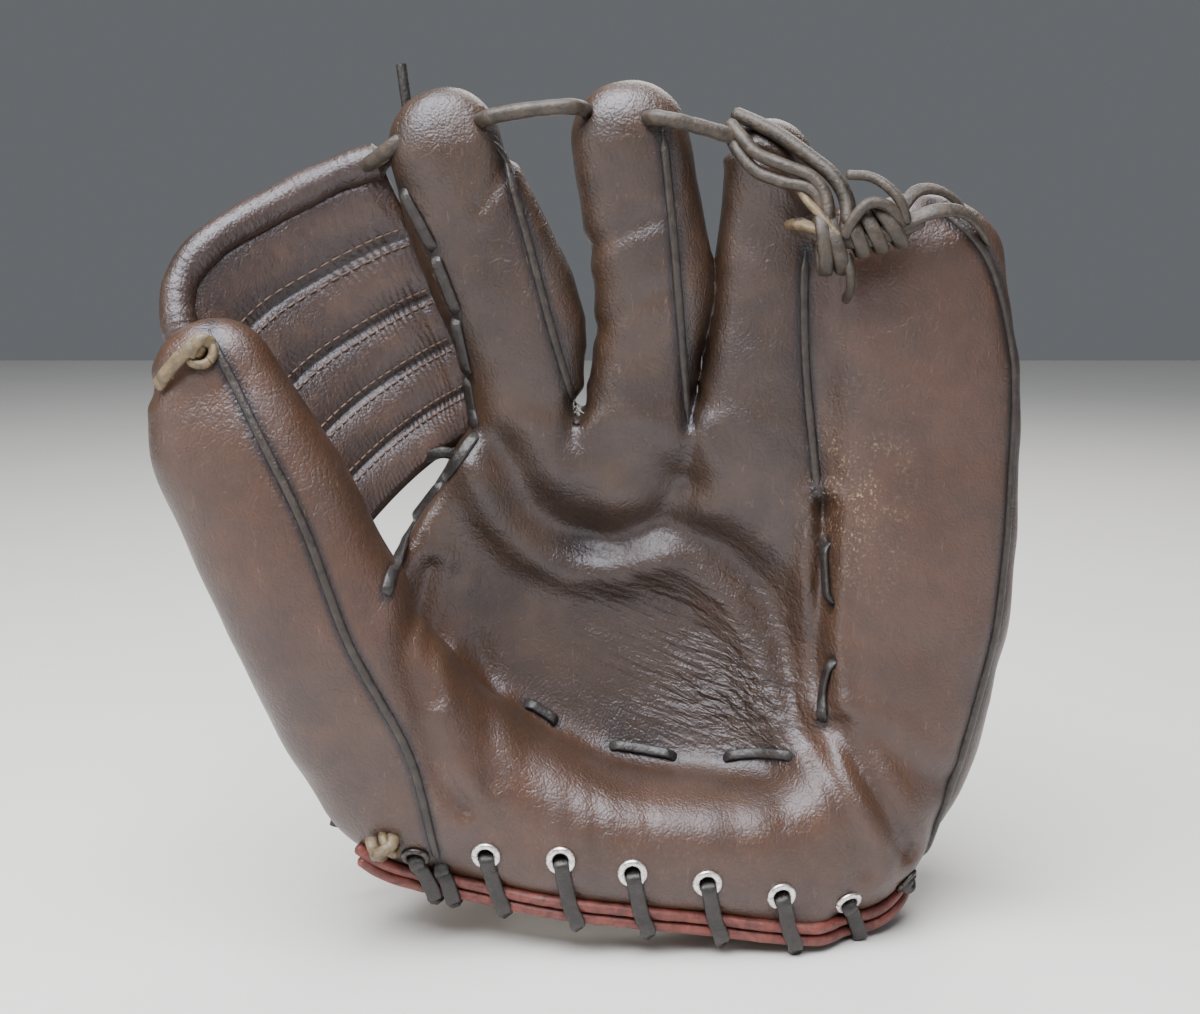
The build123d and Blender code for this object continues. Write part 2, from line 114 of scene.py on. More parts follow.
# Seams with a welt, as seen from the front.
SEAMS = {
    "index": [(-41.5, 239), (-39, 227), (-33.5, 207), (-27, 182), (-20, 157)],
    "middle": [(5.5, 238), (7, 224), (8.8, 208), (11, 185), (14, 153)],
    "ring": [(47.5, 204), (47.2, 192), (48.5, 168), (53, 132)],
    "little": [(84, 217), (95, 208), (103, 195), (109, 170), (109.5, 137), (107, 94), (98, 55),
               (85, 12)],
    "thumb": [(-121, 183), (-117, 175), (-110, 161), (-95, 129), (-83, 94), (-67, 60), (-60, 24)],
}

# Web corner curves: (x, y, z) up the thumb side and up the index side, and the roll on top.
WEB_THUMB_SIDE = [(-84, -20, 120), (-97, -28, 140), (-111, -34, 162), (-127, -38, 189)]
WEB_INDEX_SIDE = [(-50, -6, 148), (-53, -8, 172), (-59, -10, 196), (-68, -12, 226)]
WEB_BULGE = 12.0
WEB_CHANNELS = 5                 # stuffed channels, each with a double row of stitches under it
WEB_HALF_THICK = 3.8
ROLL = [(-127, -40, 172), (-132, -38, 184), (-132, -33, 196), (-124, -27, 207), (-108, -18, 217),
        (-90, -14, 226), (-76, -13, 230.5)]
ROLL_RADIUS = 5.6

# Heel edge: x and height of the upper binding, and the eyelets.
HEEL_EDGE = [(-84, 29), (-79, 25), (-70, 21), (-58, 17.5), (-40, 15), (-24, 13.5), (2, 10.5), (32, 6.5),
             (60, 3.6), (72, 4.6), (80, 8.5), (86, 14)]
EYELETS = [(-46, 29), (-24, 28.5), (-3, 25), (19, 21.5), (41, 16.5), (62, 11)]
DARK_EYELETS = [(-67, 28), (81, 14)]
PALM_STITCHES = [((-35, 64.5), (-26, 58.5)), ((-9, 51), (11, 48)), ((26, 48.5), (45, 52)),
                 ((54.5, 63), (57, 82)), ((56.5, 99), (55.5, 117))]
EDGE_STITCHES = [((-70, 222.5), (-60.5, 204)), ((-60.8, 203), (-54.2, 185.7)),
                 ((-55.2, 184.6), (-51.8, 166.8)),
                 ((-52.4, 166), (-50, 151)), ((-49.6, 149.6), (-60, 134.5)), ((-60.5, 133.6), (-70.5, 120.5)),
                 ((-71, 119), (-73.5, 108))]
# Routes of the free lace ends, as in part.py.
INDEX_TAIL = [(-68.5, 3, 225.5), (-69.2, 4, 237), (-71, 2.8, 248), (-72.3, 3.4, 259)]
HEEL_TAIL = [(-82, 6, 56), (-88.5, 3, 45.5), (-94.5, -1.5, 34), (-98, -3, 21)]
INDEX_TAIL_ROOT = [(-58, -9, 221), (-63, -3, 222), (-67, 1, 223), (-68.5, 3, 225.5)]
TAIL = 3.2

# Wrist strap: from and to in x, bottom and top, and inner and outer face over the back leather.
STRAP_SPAN = (-54.0, 61.0)
STRAP_HEIGHT = (17.0, 45.0)
STRAP_LEVELS = (0.9, 3.7)


# ---- Curves through given rows -----------------------------------------------------------
def smooth_rows(rows, count):
    """Catmull-Rom curve through rows of numbers."""
    p = np.array(rows, float)
    p = np.vstack([2 * p[0] - p[1], p, 2 * p[-1] - p[-2]])
    spans = len(p) - 3
    out = []
    for s in np.linspace(0, spans - 1e-6, count):
        i = int(s)
        t = s - i
        a, b, c, d = p[i:i + 4]
        out.append(0.5 * (2 * b + (c - a) * t + (2 * a - 5 * b + 4 * c - d) * t * t
                          + (3 * b - a - 3 * c + d) * t ** 3))
    return np.array(out)


# ---- The leather body as a field ---------------------------------------------------------
counts = [int(math.ceil((high - low) / STEP)) + 1 for low, high in zip(GRID_LOW, GRID_HIGH)]
gx, gy, gz = [low + STEP * np.arange(count, dtype=np.float32) for low, count in zip(GRID_LOW, counts)]
flat_x, flat_z = np.meshgrid(gx, gz, indexing="ij")


def polyline_distance(points, x=flat_x, z=flat_z):
    """Distance, seen from the front, to a polyline of (x, z)."""
    best = np.full(x.shape, 1e6, np.float32)
    for (ax, az), (bx, bz) in zip(points, points[1:]):
        dx, dz = bx - ax, bz - az
        t = np.clip(((x - ax) * dx + (z - az) * dz) / (dx * dx + dz * dz), 0, 1)
        best = np.minimum(best, np.hypot(x - ax - t * dx, z - az - t * dz))
    return best


def limb_maps(rows):
    """For each front-view point: distance to the limb's middle over its radius, and its sizes there."""
    path = smooth_rows(rows, 48)
    ratio = np.full(flat_x.shape, 1e6, np.float32)
    sizes = np.zeros((3,) + flat_x.shape, np.float32)
    for low, high in zip(path, path[1:]):
        seg = high - low
        t = ((flat_x - low[0]) * seg[0] + (flat_z - low[1]) * seg[1]) / (seg[0] ** 2 + seg[1] ** 2)
        t = np.clip(t, 0, 1)
        radius = low[2] + t * seg[2]
        here = np.hypot(flat_x - low[0] - t * seg[0], flat_z - low[1] - t * seg[1]) / radius
        better = here < ratio
        ratio = np.where(better, here, ratio)
        for i, value in enumerate((radius, low[3] + t * seg[3], low[4] + t * seg[4])):
            sizes[i] = np.where(better, value, sizes[i])
    return ratio, sizes


def limb(rows, power=2.35, inset=0.0):
    """Field of one limb: negative inside."""
    ratio, (radius, mid_y, half_depth) = limb_maps(rows)
    reach = radius - inset
    across = (ratio * radius / reach)[:, None, :] ** power
    depth = np.abs((gy[None, :, None] - mid_y[:, None, :]) / (half_depth - inset)[:, None, :]) ** power
    scale = np.minimum(reach, half_depth - inset)[:, None, :]
    return (((across + depth) ** (1 / power) - 1) * scale).astype(np.float32)


def oval_at(stations, z):
    """Centre x, centre y, half width and half depth of a stack of ovals at the heights z."""
    s = smooth_rows(stations, 80)
    return [np.interp(z, s[:, 0], s[:, i]) for i in (1, 2, 3, 4)]


def oval_stack(stations, inset=0.0):
    """Field of an upright stack of ovals, unbounded in height."""
    mid_x, mid_y, half_x, half_y = [row[None, None, :] for row in oval_at(stations, gz)]
    half_x, half_y = half_x - inset, half_y - inset
    u, v = (gx[:, None, None] - mid_x) / half_x, (gy[None, :, None] - mid_y) / half_y
    return ((np.sqrt(u * u + v * v) - 1) * np.minimum(half_x, half_y)).astype(np.float32)


def join(a, b, soft):
    """Smooth union."""
    h = np.clip(0.5 + 0.5 * (b - a) / soft, 0, 1)
    return b + (a - b) * h - soft * h * (1 - h)


def carve(a, b, soft):
    """a without b, with a rounded rim."""
    return -join(-a, b, soft)


def meet(a, b, soft):
    """What a and b share, with rounded edges."""
    return -join(-a, -b, soft)


def palm_left_edge():
    """x of the palm's left edge at each height."""
    return np.interp(gz, *zip(*sorted(PALM_LEFT)))[None, :]


def hill(x, z, at_x, at_z, wide, high):
    """A smooth spot of height 1 at one place of the front view."""
    return np.exp(-((x - at_x) / wide) ** 2 - ((z - at_z) / high) ** 2)


def bowl_surface():
    """y of the palm's front, as a map over the front view: a wide, shallow bowl."""
    x, z = flat_x, flat_z
    y = -4 - 13 * np.clip((z - 95) / 55, 0, 2) ** 2 - 10 * np.clip((95 - z) / 50, 0, 2) ** 2
    y = y - 16 * np.clip((-5 - x) / 66, 0, 2) ** 2.2 - 15 * np.clip((x + 5) / 62, 0, 2) ** 2.2
    y = y - 3.5 * hill(x, z, -26, 134, 13, 10)
    return y - 2.5 * hill(x - (z - 128) * 0.9, z + x * 0.18, 12, 126, 20, 6)


def palm():
    """Field of the palm slab between pocket surface and back."""
    front = (bowl_surface()[:, None, :] - gy[None, :, None]) * 0.9
    left = palm_left_edge() - flat_x
    right = flat_x - PALM_RIGHT
    top = flat_z - 153 + 0.002 * (flat_x - 2) ** 2
    slab = meet(front, oval_stack(BLOCK), 6)
    for side in (left, right, top):
        slab = meet(slab, side[:, None, :], 5)
    return slab


def back_of_hand():
    """Field of the back leather's block, from the fingers' roots to the wrist."""
    block = oval_stack(BLOCK)
    back = meet(block, np.float32(-4) - gy[None, :, None] + 0 * block, 4)
    back = meet(back, (flat_z - 150)[:, None, :] + 0 * block, 3)
    back = meet(back, (palm_left_edge() - flat_x)[:, None, :] + 0 * block, 5)
    return meet(back, (flat_x - 88)[:, None, :] + 0 * block, 5)


def noise2(u, v, seed):
    """Smooth random values, about -1 to 1, over two arrays; one cell is one unit."""
    table = np.random.default_rng(seed).uniform(-1, 1, (97, 89))
    i, j = np.floor(u).astype(int), np.floor(v).astype(int)
    s, t = u - i, v - j
    s, t = s * s * (3 - 2 * s), t * t * (3 - 2 * t)
    low = table[i % 97, j % 89] * (1 - s) + table[(i + 1) % 97, j % 89] * s
    high = table[i % 97, (j + 1) % 89] * (1 - s) + table[(i + 1) % 97, (j + 1) % 89] * s
    return low * (1 - t) + high * t


def noise_map(scale_x, scale_z, seed, turn=0.0):
    """The same over the front view, with its own wave length each way."""
    u = flat_x * math.cos(turn) + flat_z * math.sin(turn)
    v = flat_z * math.cos(turn) - flat_x * math.sin(turn)
    return noise2(u / scale_x, v / scale_z, seed).astype(np.float32)


def creases():
    """How far the leather sinks in, as a map over the front view."""
    depth = np.zeros(flat_x.shape, np.float32)
    for points, width, deep in CREASES:
        path = smooth_rows(points, 4 * len(points))
        along = polyline_distance([tuple(p) for p in path])
        swollen_sides = 0.35 * np.exp(-((along - 2.2 * width) / width) ** 2)
        depth += deep * (np.exp(-(along / width) ** 2) - swollen_sides)
    heel = hill(flat_x, flat_z, 12, 34, 45, 20)
    depth += 1.2 * heel * (0.45 - np.abs(noise_map(7.5, 36, 3, 0.06)))
    pocket = hill(flat_x, flat_z, 8, 88, 44, 26)
    depth += 0.85 * pocket * (0.45 - np.abs(noise_map(4.6, 26, 4, 0.95)))
    fingers = np.clip((flat_z - 150) / 12, 0, 1)
    depth += 0.28 * fingers * noise_map(16, 9, 5, 0.4)
    return depth


def hand_room():
    """Field of the room inside: hand, finger stalls, opening in the back and open wrist."""
    room = np.maximum(oval_stack(CAVITY, -1.5), (flat_z - 152)[:, None, :])
    for rows in (INDEX, MIDDLE, RING, THUMB, LITTLE_ROOM, LITTLE_MOUTH):
        room = np.minimum(room, limb(rows, 2.2, WALL))
    x_from, x_to, y_from, top_z = BACK_HOLE
    x, z = flat_x[:, None, :], flat_z[:, None, :]
    hole = np.maximum(np.maximum(x_from - x, x - x_to), np.maximum(y_from - gy[None, :, None], z - top_z))
    below = (z - (WRIST_EDGE[0] + WRIST_EDGE[1] * x)) + 0 * room
    return room, hole.astype(np.float32), below


def body_field():
    """The hollow leather body, the same body solid, and the room inside on its own."""
    fingers = join(join(limb(INDEX), limb(MIDDLE), 1.5), limb(RING), 1.5)
    body = join(fingers, palm(), 9)
    cushions = join(join(limb(THUMB), limb(HEEL, 2.6), 9), limb(LITTLE, 2.5), 9)
    body = join(join(body, cushions, 7.5), back_of_hand(), 5)
    front = np.clip((6 - gy) / 8, 0, 1)[None, :, None]
    body = body + creases()[:, None, :] * front
    slow = 0.9 * noise_map(34, 27, 6, 0.3) + 0.35 * noise_map(11, 13, 8, 0.8)
    quick = 0.45 * noise_map(17, 9, 9, 0.5) + 0.3 * noise_map(6, 14, 10, 0.2)
    body = body + slow[:, None, :] + quick[:, None, :] * (1 - front)
    for seam in SEAMS.values():
        groove = polyline_distance([tuple(p) for p in smooth_rows(seam, 30)])
        body = body + (0.6 * np.exp(-(groove / 2.4) ** 2))[:, None, :] * front
    room, hole, below = hand_room()
    hollow = carve(carve(carve(body, room, 1.2), hole, 2.5), below, 3)
    return hollow, body, np.minimum(room, np.minimum(hole, below))


# ---- From field to mesh ------------------------------------------------------------------
def surface(field):
    """Surface nets: vertices in mm and quads of the field's zero level."""
    inside = field < 0
    corners = [(i, j, k) for i in (0, 1) for j in (0, 1) for k in (0, 1)]
    shape = tuple(n - 1 for n in field.shape)

    def at(array, corner):
        """The grid shifted to one corner of every cell."""
        return array[tuple(slice(c, c + n) for c, n in zip(corner, shape))]

    total = sum(at(inside, corner).astype(np.int8) for corner in corners)
    cells = np.argwhere((total > 0) & (total < 8))
    index = -np.ones(shape, np.int32)
    index[tuple(cells.T)] = np.arange(len(cells))
    values = [field[tuple((cells + np.array(corner)).T)] for corner in corners]
    place = np.zeros((len(cells), 3))
    hits = np.zeros(len(cells))
    for a, first in enumerate(corners):
        for b, second in enumerate(corners):
            if b <= a or sum(abs(p - q) for p, q in zip(first, second)) != 1:
                continue
            crossing = (values[a] < 0) != (values[b] < 0)
            t = np.where(crossing, values[a] / np.where(crossing, values[a] - values[b], 1), 0)[:, None]
            point = np.array(first) + t * (np.array(second) - np.array(first))
            place += np.where(crossing[:, None], point, 0)
            hits += crossing
    verts = (cells + place / hits[:, None]) * STEP + np.array(GRID_LOW)
    quads = []
    for axis in range(3):
        u, v = [n for n in range(3) if n != axis]
        low = [slice(None)] * 3
        high = [slice(None)] * 3
        low[axis], high[axis] = slice(0, -1), slice(1, None)
        change = inside[tuple(low)] != inside[tuple(high)]
        for n in (u, v):
            edge = [slice(None)] * 3
            edge[n] = slice(1, -1)
            change = change[tuple(edge)]
        found = np.argwhere(change)
        found[:, u] += 1
        found[:, v] += 1
        around = []
        for du, dv in ((-1, -1), (0, -1), (0, 0), (-1, 0)):
            cell = found.copy()
            cell[:, u] += du
            cell[:, v] += dv
            around.append(index[tuple(cell.T)])
        quad = np.stack(around, 1)
        flip = inside[tuple(found.T)]
        if axis == 1:
            flip = ~flip
        quad[~flip] = quad[~flip][:, ::-1]
        quads.append(quad)
    return verts, np.concatenate(quads)


def neighbours(quads, count):
    """Edges of the quads as two arrays of vertex numbers, and how many each vertex has."""
    edges = np.concatenate([quads[:, [0, 1]], quads[:, [1, 2]], quads[:, [2, 3]], quads[:, [3, 0]]])
    degree = np.bincount(edges[:, 0], minlength=count) + np.bincount(edges[:, 1], minlength=count)
    return edges, np.maximum(degree, 1)


def averaged(values, edges, degree):
    """Mean of each vertex's neighbours."""
    out = np.empty_like(values)
    for i in range(values.shape[1]):
        out[:, i] = (np.bincount(edges[:, 0], values[edges[:, 1], i], len(values))
                     + np.bincount(edges[:, 1], values[edges[:, 0], i], len(values))) / degree
    return out


def vertex_normals(verts, quads):
    """Area-weighted normals."""
    a, b, c, d = [verts[quads[:, i]] for i in range(4)]
    face = np.cross(c - a, d - b)
    out = np.zeros_like(verts)
    for i in range(4):
        for k in range(3):
            out[:, k] += np.bincount(quads[:, i], face[:, k], len(verts))
    return out / np.maximum(np.linalg.norm(out, axis=1, keepdims=True), 1e-9)


def sample(field, points):
    """Trilinear value of a grid field at points in mm."""
    p = (points - np.array(GRID_LOW)) / STEP
    p = np.clip(p, 0, np.array(field.shape) - 1.001)
    i = p.astype(int)
    t = p - i
    out = 0
    for dx in (0, 1):
        for dy in (0, 1):
            for dz in (0, 1):
                weight = np.prod(np.abs(1 - np.array((dx, dy, dz)) - t), axis=1)
                out = out + weight * field[i[:, 0] + dx, i[:, 1] + dy, i[:, 2] + dz]
    return out


def make_mesh(name, verts, faces, normals=None, attributes=None):
    """Mesh object from arrays in mm."""
    mesh = bpy.data.meshes.new(name)
    mesh.vertices.add(len(verts))
    mesh.vertices.foreach_set("co", (np.asarray(verts, np.float32) * MM).ravel())
    faces = np.asarray(faces)
    mesh.loops.add(faces.size)
    mesh.loops.foreach_set("vertex_index", faces.ravel().astype(np.int32))
    mesh.polygons.add(len(faces))
    mesh.polygons.foreach_set("loop_start", np.arange(0, faces.size, faces.shape[1], dtype=np.int32))
    mesh.polygons.foreach_set("use_smooth", np.ones(len(faces), bool))
    mesh.update(calc_edges=True)
    mesh.validate()
    for key, values in (attributes or {}).items():
        layer = mesh.attributes.new(key, "FLOAT", "POINT")
        layer.data.foreach_set("value", np.asarray(values, np.float32))
    if normals is not None:
        mesh.normals_split_custom_set_from_vertices([tuple(n) for n in normals])
    obj = bpy.data.objects.new(name, mesh)
    bpy.context.collection.objects.link(obj)
    return obj


# ---- Build the body ----------------------------------------------------------------------
hollow, solid, inner = body_field()
verts, quads = surface(hollow)
edges, degree = neighbours(quads, len(verts))
for _ in range(2):
    verts = verts + 0.5 * (averaged(verts, edges, degree) - verts)
normals = vertex_normals(verts, quads)
body_tree = BVHTree.FromPolygons(verts.tolist(), quads.tolist())


def smooth_normal(face):
    """Normal of a body quad, from its corners."""
    return Vector(normals[quads[face]].mean(axis=0)).normalized()


def on_body(x, z, lift=0.0):
    """Point on the front of the body at x, z, and the normal there."""
    hit, _, face, _ = body_tree.ray_cast(Vector((x, -200, z)), Vector((0, 1, 0)))
    if hit is None:
        hit, _, face, _ = body_tree.find_nearest(Vector((x, -30, z)))
    up = smooth_normal(face)
    return np.array(hit + up * lift), np.array(up)


def on_back(x, z, lift=0.0):
    """Point on the back of the body at x, z."""
    hit = body_tree.ray_cast(Vector((x, 200, z)), Vector((0, -1, 0)))[0]
    return np.array(hit) + (0, lift, 0)


def cell_of(points):
    """Front-view grid cell of each point."""
    i = np.clip(((points[:, 0] - GRID_LOW[0]) / STEP).astype(int), 0, len(gx) - 1)
    k = np.clip(((points[:, 2] - GRID_LOW[2]) / STEP).astype(int), 0, len(gz) - 1)
    return i, k


def fold_x(fold, z):
    """x of a fold line at the height z."""
    (ax, _, az), (bx, _, bz) = fold
    return ax + (z - az) * (bx - ax) / (bz - az)


def body_split():
    """For each vertex: thumb, middle or little-finger stretch, and front, back or lining."""
    x, y, z = verts.T
    is_lining = np.abs(sample(inner, verts)) < np.abs(sample(solid, verts)) - 0.6
    seam_y = np.full(flat_x.shape, 6.0, np.float32)
    best = np.full(flat_x.shape, 1.05, np.float32)
    ratio = {}
    limbs = {"index": INDEX, "middle": MIDDLE, "ring": RING, "little": LITTLE, "thumb": THUMB}
    for name, rows in limbs.items():
        ratio[name], sizes = limb_maps(rows)
        closer = ratio[name] < best
        best = np.where(closer, ratio[name], best)
        seam_y = np.where(closer, sizes[1] + 1.5, seam_y)
    seam_y = np.where((flat_z < 140) & (np.abs(flat_x - 5) < 60), 6.0, seam_y)
    cell = cell_of(verts)
    near_index = ratio["index"][cell] < ratio["thumb"][cell]
    near_ring = ratio["ring"][cell] < ratio["little"][cell]
    on_thumb = (x < fold_x(THUMB_FOLD, z) + 10) & ~((z > 124) & near_index)
    on_little = (x > fold_x(LITTLE_FOLD, z) - 3) & ~((z > 129) & near_ring)
    zone = np.where(on_thumb, 0, np.where(on_little, 2, 1))
    kind = np.where(is_lining, 2, np.where(y > seam_y[cell], 1, 0))
    return zone, kind


def fit(obj, nodes, body):
    """Hide the imported nodes a piece stands for and hang it on the body it rides on; a piece in a fold only
    gets its transform baked.
    """
    if nodes:
        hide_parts(*nodes)
    if body not in FOLDS:
        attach(obj, body)
        return obj
    (low, high), moving, before, past = FOLDS[body]
    low, high = Vector(low), Vector(high)
    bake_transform(obj)
    return obj


def soften(line, times):
    """Even out a line of points, its two ends held."""
    for _ in range(times):
        line[1:-1] = (line[:-2] + 2 * line[1:-1] + line[2:]) / 4
    return line


def along(points, step=1.2):
    """Points evenly spaced along a smooth curve through the given ones."""
    fine = smooth_rows(points, 40 * len(points))
    gaps = np.linalg.norm(np.diff(fine[:, :3], axis=0), axis=1)
    run = np.concatenate([[0], np.cumsum(gaps)])
    wanted = np.linspace(0, run[-1], max(3, int(run[-1] / step) + 1))
    return np.stack([np.interp(wanted, run, fine[:, i]) for i in range(fine.shape[1])], 1)


def on_front(points, lift=0.0, step=1.2):
    """A front-view line laid on the leather: its points and the normals there."""
    flat = along([(x, 0, z) for x, z in points], step)
    found = [on_body(x, z, lift) for x, _, z in flat]
    place = soften(np.array([f[0] for f in found]), 2)
    up = soften(np.array([f[1] for f in found]), 2)
    return place, up / np.linalg.norm(up, axis=1, keepdims=True)


def ring_on(at, up, radius, lift, start=0.0):
    """Circle of points lying on the leather."""
    one = np.cross(up, (0, 0, 1))
    one /= np.linalg.norm(one)
    two = np.cross(up, one)
    turn = np.linspace(0, 2 * np.pi, 40)[:, None] + start
    return at + up * lift + radius * (np.cos(turn) * one + np.sin(turn) * two)


# Rounded end of a strand: for each of two extra rings, its scale and how far out it lies.
BLUNT_END = ((0.85, 0.34), (0.42, 0.62))


class Sweep:
    """Collects swept strands in one mesh, in mm."""

    def __init__(self):
        self.verts, self.faces, self.count = [], [], 0

    def add(self, centres, half_width, half_height=None, ups=None, sides=12, square=2.0, blunt=True):
        """One strand: an oval or squarish section carried along the centres."""
        c = np.asarray(centres, float)
        wide = np.broadcast_to(half_width, (len(c),)).astype(float)
        high = wide if half_height is None else np.broadcast_to(half_height, (len(c),)).astype(float)
        tangent = np.gradient(c, axis=0)
        tangent /= np.maximum(np.linalg.norm(tangent, axis=1, keepdims=True), 1e-9)
        if ups is None:
            ups = self.carried(tangent)
        ups = np.broadcast_to(ups, c.shape)
        if blunt:
            c, wide, high, tangent, ups = self.ended(c, wide, high, tangent, ups)
        side = np.cross(tangent, ups)
        side /= np.maximum(np.linalg.norm(side, axis=1, keepdims=True), 1e-9)
        up = np.cross(side, tangent)
        angle = np.linspace(0, 2 * np.pi, sides, endpoint=False)
        px = np.sign(np.cos(angle)) * np.abs(np.cos(angle)) ** (2 / square)
        py = np.sign(np.sin(angle)) * np.abs(np.sin(angle)) ** (2 / square)
        rings = (c[:, None, :] + side[:, None, :] * (px * wide[:, None])[:, :, None]
                 + up[:, None, :] * (py * high[:, None])[:, :, None])
        number = self.count + np.arange(len(c) * sides).reshape(len(c), sides)
        nxt = np.roll(number, -1, axis=1)
        walls = np.stack([number[:-1], number[1:], nxt[1:], nxt[:-1]], 2).reshape(-1, 4)
        cap = np.array([(i, i + 1, sides - 2 - i, sides - 1 - i) for i in range(sides // 2 - 1)])
        self.verts.append(rings.reshape(-1, 3))
        self.faces += [walls, number[0][cap], number[-1][cap][:, ::-1]]
        self.count += number.size
        return self

    @staticmethod
    def carried(tangent):
        """An up direction for each point, carried along without twisting."""
        first = np.cross(tangent[0], (0.3, 0.9, 0.25))
        turned = [first / np.linalg.norm(first)]
        for t in tangent[1:]:
            up = turned[-1] - t * np.dot(turned[-1], t)
            turned.append(up / np.linalg.norm(up))
        return np.array(turned)

    @staticmethod
    def ended(c, wide, high, tangent, ups):
        """The strand with two smaller rings past each end."""
        extra = []
        for i, way, rings in ((0, -1, BLUNT_END[::-1]), (-1, 1, BLUNT_END)):
            for scale, out in rings:
                place = c[i] + way * out * tangent[i] * min(wide[i], high[i])
                extra.append((place, wide[i] * scale, high[i] * scale, tangent[i], ups[i]))
        packs = [np.array([e[k] for e in extra]) for k in range(5)]
        rows = zip(packs, (c, wide, high, tangent, ups))
        return [np.concatenate([pack[:2], array, pack[2:]]) for pack, array in rows]

    def lace(self, points, half_width, half_height=None, ups=None, square=2.8, sides=12):
        """A strand through a few given points."""
        return self.add(along(points, 0.9), half_width, half_height, ups, sides, square)

    def make(self, name, material):
        """The strands as one object."""
        obj = make_mesh(name, np.concatenate(self.verts), np.concatenate(self.faces))
        obj.data.materials.append(material)
        return obj


# ---- Materials ---------------------------------------------------------------------------
class Nodes:
    """A material's node tree, built node by node."""

    def __init__(self, name):
        self.material = bpy.data.materials.new(name)
        self.material.use_nodes = True
        self.tree = self.material.node_tree
        self.shader = self.tree.nodes["Principled BSDF"]
        self.place = self.new("ShaderNodeTexCoord").outputs["Object"]

    def new(self, kind, **values):
        """A node, with its settings or socket values."""
        node = self.tree.nodes.new(kind)
        for key, value in values.items():
            if hasattr(node, key):
                setattr(node, key, value)
            else:
                self.feed(node.inputs[key], value)
        return node

    def feed(self, socket, value):
        """Link a socket, or set its value."""
        if isinstance(value, bpy.types.NodeSocket):
            self.tree.links.new(value, socket)
        else:
            socket.default_value = value

    def stretched(self, x, y, z, turn=0.0):
        """Object coordinates turned about the depth axis, then squeezed by x, y, z."""
        node = self.new("ShaderNodeMapping", vector_type="TEXTURE")
        self.feed(node.inputs["Vector"], self.place)
        node.inputs["Scale"].default_value = (1 / x, 1 / y, 1 / z)
        node.inputs["Rotation"].default_value = (0, turn, 0)
        return node.outputs["Vector"]

    def noise(self, scale, detail=4.0, rough=0.55, distort=0.0, vector=None):
        """Cloudy noise, about 0.25 to 0.75."""
        node = self.new("ShaderNodeTexNoise", Scale=scale, Detail=detail, Roughness=rough, Distortion=distort)
        self.feed(node.inputs["Vector"], vector or self.place)
        return node.outputs["Fac"]

    def cells(self, scale, feature="F1", vector=None):
        """Distance field of small cells."""
        node = self.new("ShaderNodeTexVoronoi", feature=feature, Scale=scale)
        self.feed(node.inputs["Vector"], vector or self.place)
        return node.outputs["Distance"]

    def range(self, value, low, high, to_low=0.0, to_high=1.0):
        """A value stretched from one range to another, and held inside it."""
        node = self.new("ShaderNodeMapRange")
        names = ("Value", "From Min", "From Max", "To Min", "To Max")
        for key, number in zip(names, (value, low, high, to_low, to_high)):
            self.feed(node.inputs[key], number)
        return node.outputs["Result"]

    def math(self, kind, a, b=0.0):
        """One sum."""
        node = self.new("ShaderNodeMath", operation=kind)
        self.feed(node.inputs[0], a)
        self.feed(node.inputs[1], b)
        return node.outputs["Value"]

    def times(self, a, b):
        """Product of two values."""
        return self.math("MULTIPLY", a, b)

    def mix(self, amount, a, b):
        """Colour a with some of colour b."""
        node = self.new("ShaderNodeMix", data_type="RGBA", blend_type="MIX")
        for socket, value in ((node.inputs[0], amount), (node.inputs[6], a), (node.inputs[7], b)):
            self.feed(socket, value if isinstance(value, (float, bpy.types.NodeSocket)) else (*value, 1))
        return node.outputs[2]

    def attribute(self, name):
        """A value stored on the mesh."""
        return self.new("ShaderNodeAttribute", attribute_name=name).outputs["Fac"]

    def bump(self, height, distance, strength=1.0, under=None):
        """Fine relief, over another one or not."""
        node = self.new("ShaderNodeBump", Distance=distance, Strength=strength)
        self.feed(node.inputs["Height"], height)
        if under is not None:
            self.feed(node.inputs["Normal"], under)
        return node.outputs["Normal"]

    def finish(self, colour, roughness, normal=None, **constants):
        """Join the results to the shader and return the material."""
        linked = isinstance(colour, bpy.types.NodeSocket)
        self.feed(self.shader.inputs["Base Color"], colour if linked else (*colour, 1))
        self.feed(self.shader.inputs["Roughness"], roughness)
        if normal is not None:
            self.feed(self.shader.inputs["Normal"], normal)
        for key, value in constants.items():
            self.shader.inputs[key.replace("_", " ")].default_value = value
        return self.material


FOLD_SLANT = 0.40                # how far the fine folds in the pocket lean, radians
RUBBED = (0.27, 0.135, 0.07)
# Near-black colour of the painted shade in creases, beside welts and under lace stitches.
PAINTED_SHADE = (0.008, 0.005, 0.004)
SCRATCHED = (0.25, 0.15, 0.10)
SCUFFED = (0.36, 0.25, 0.155)


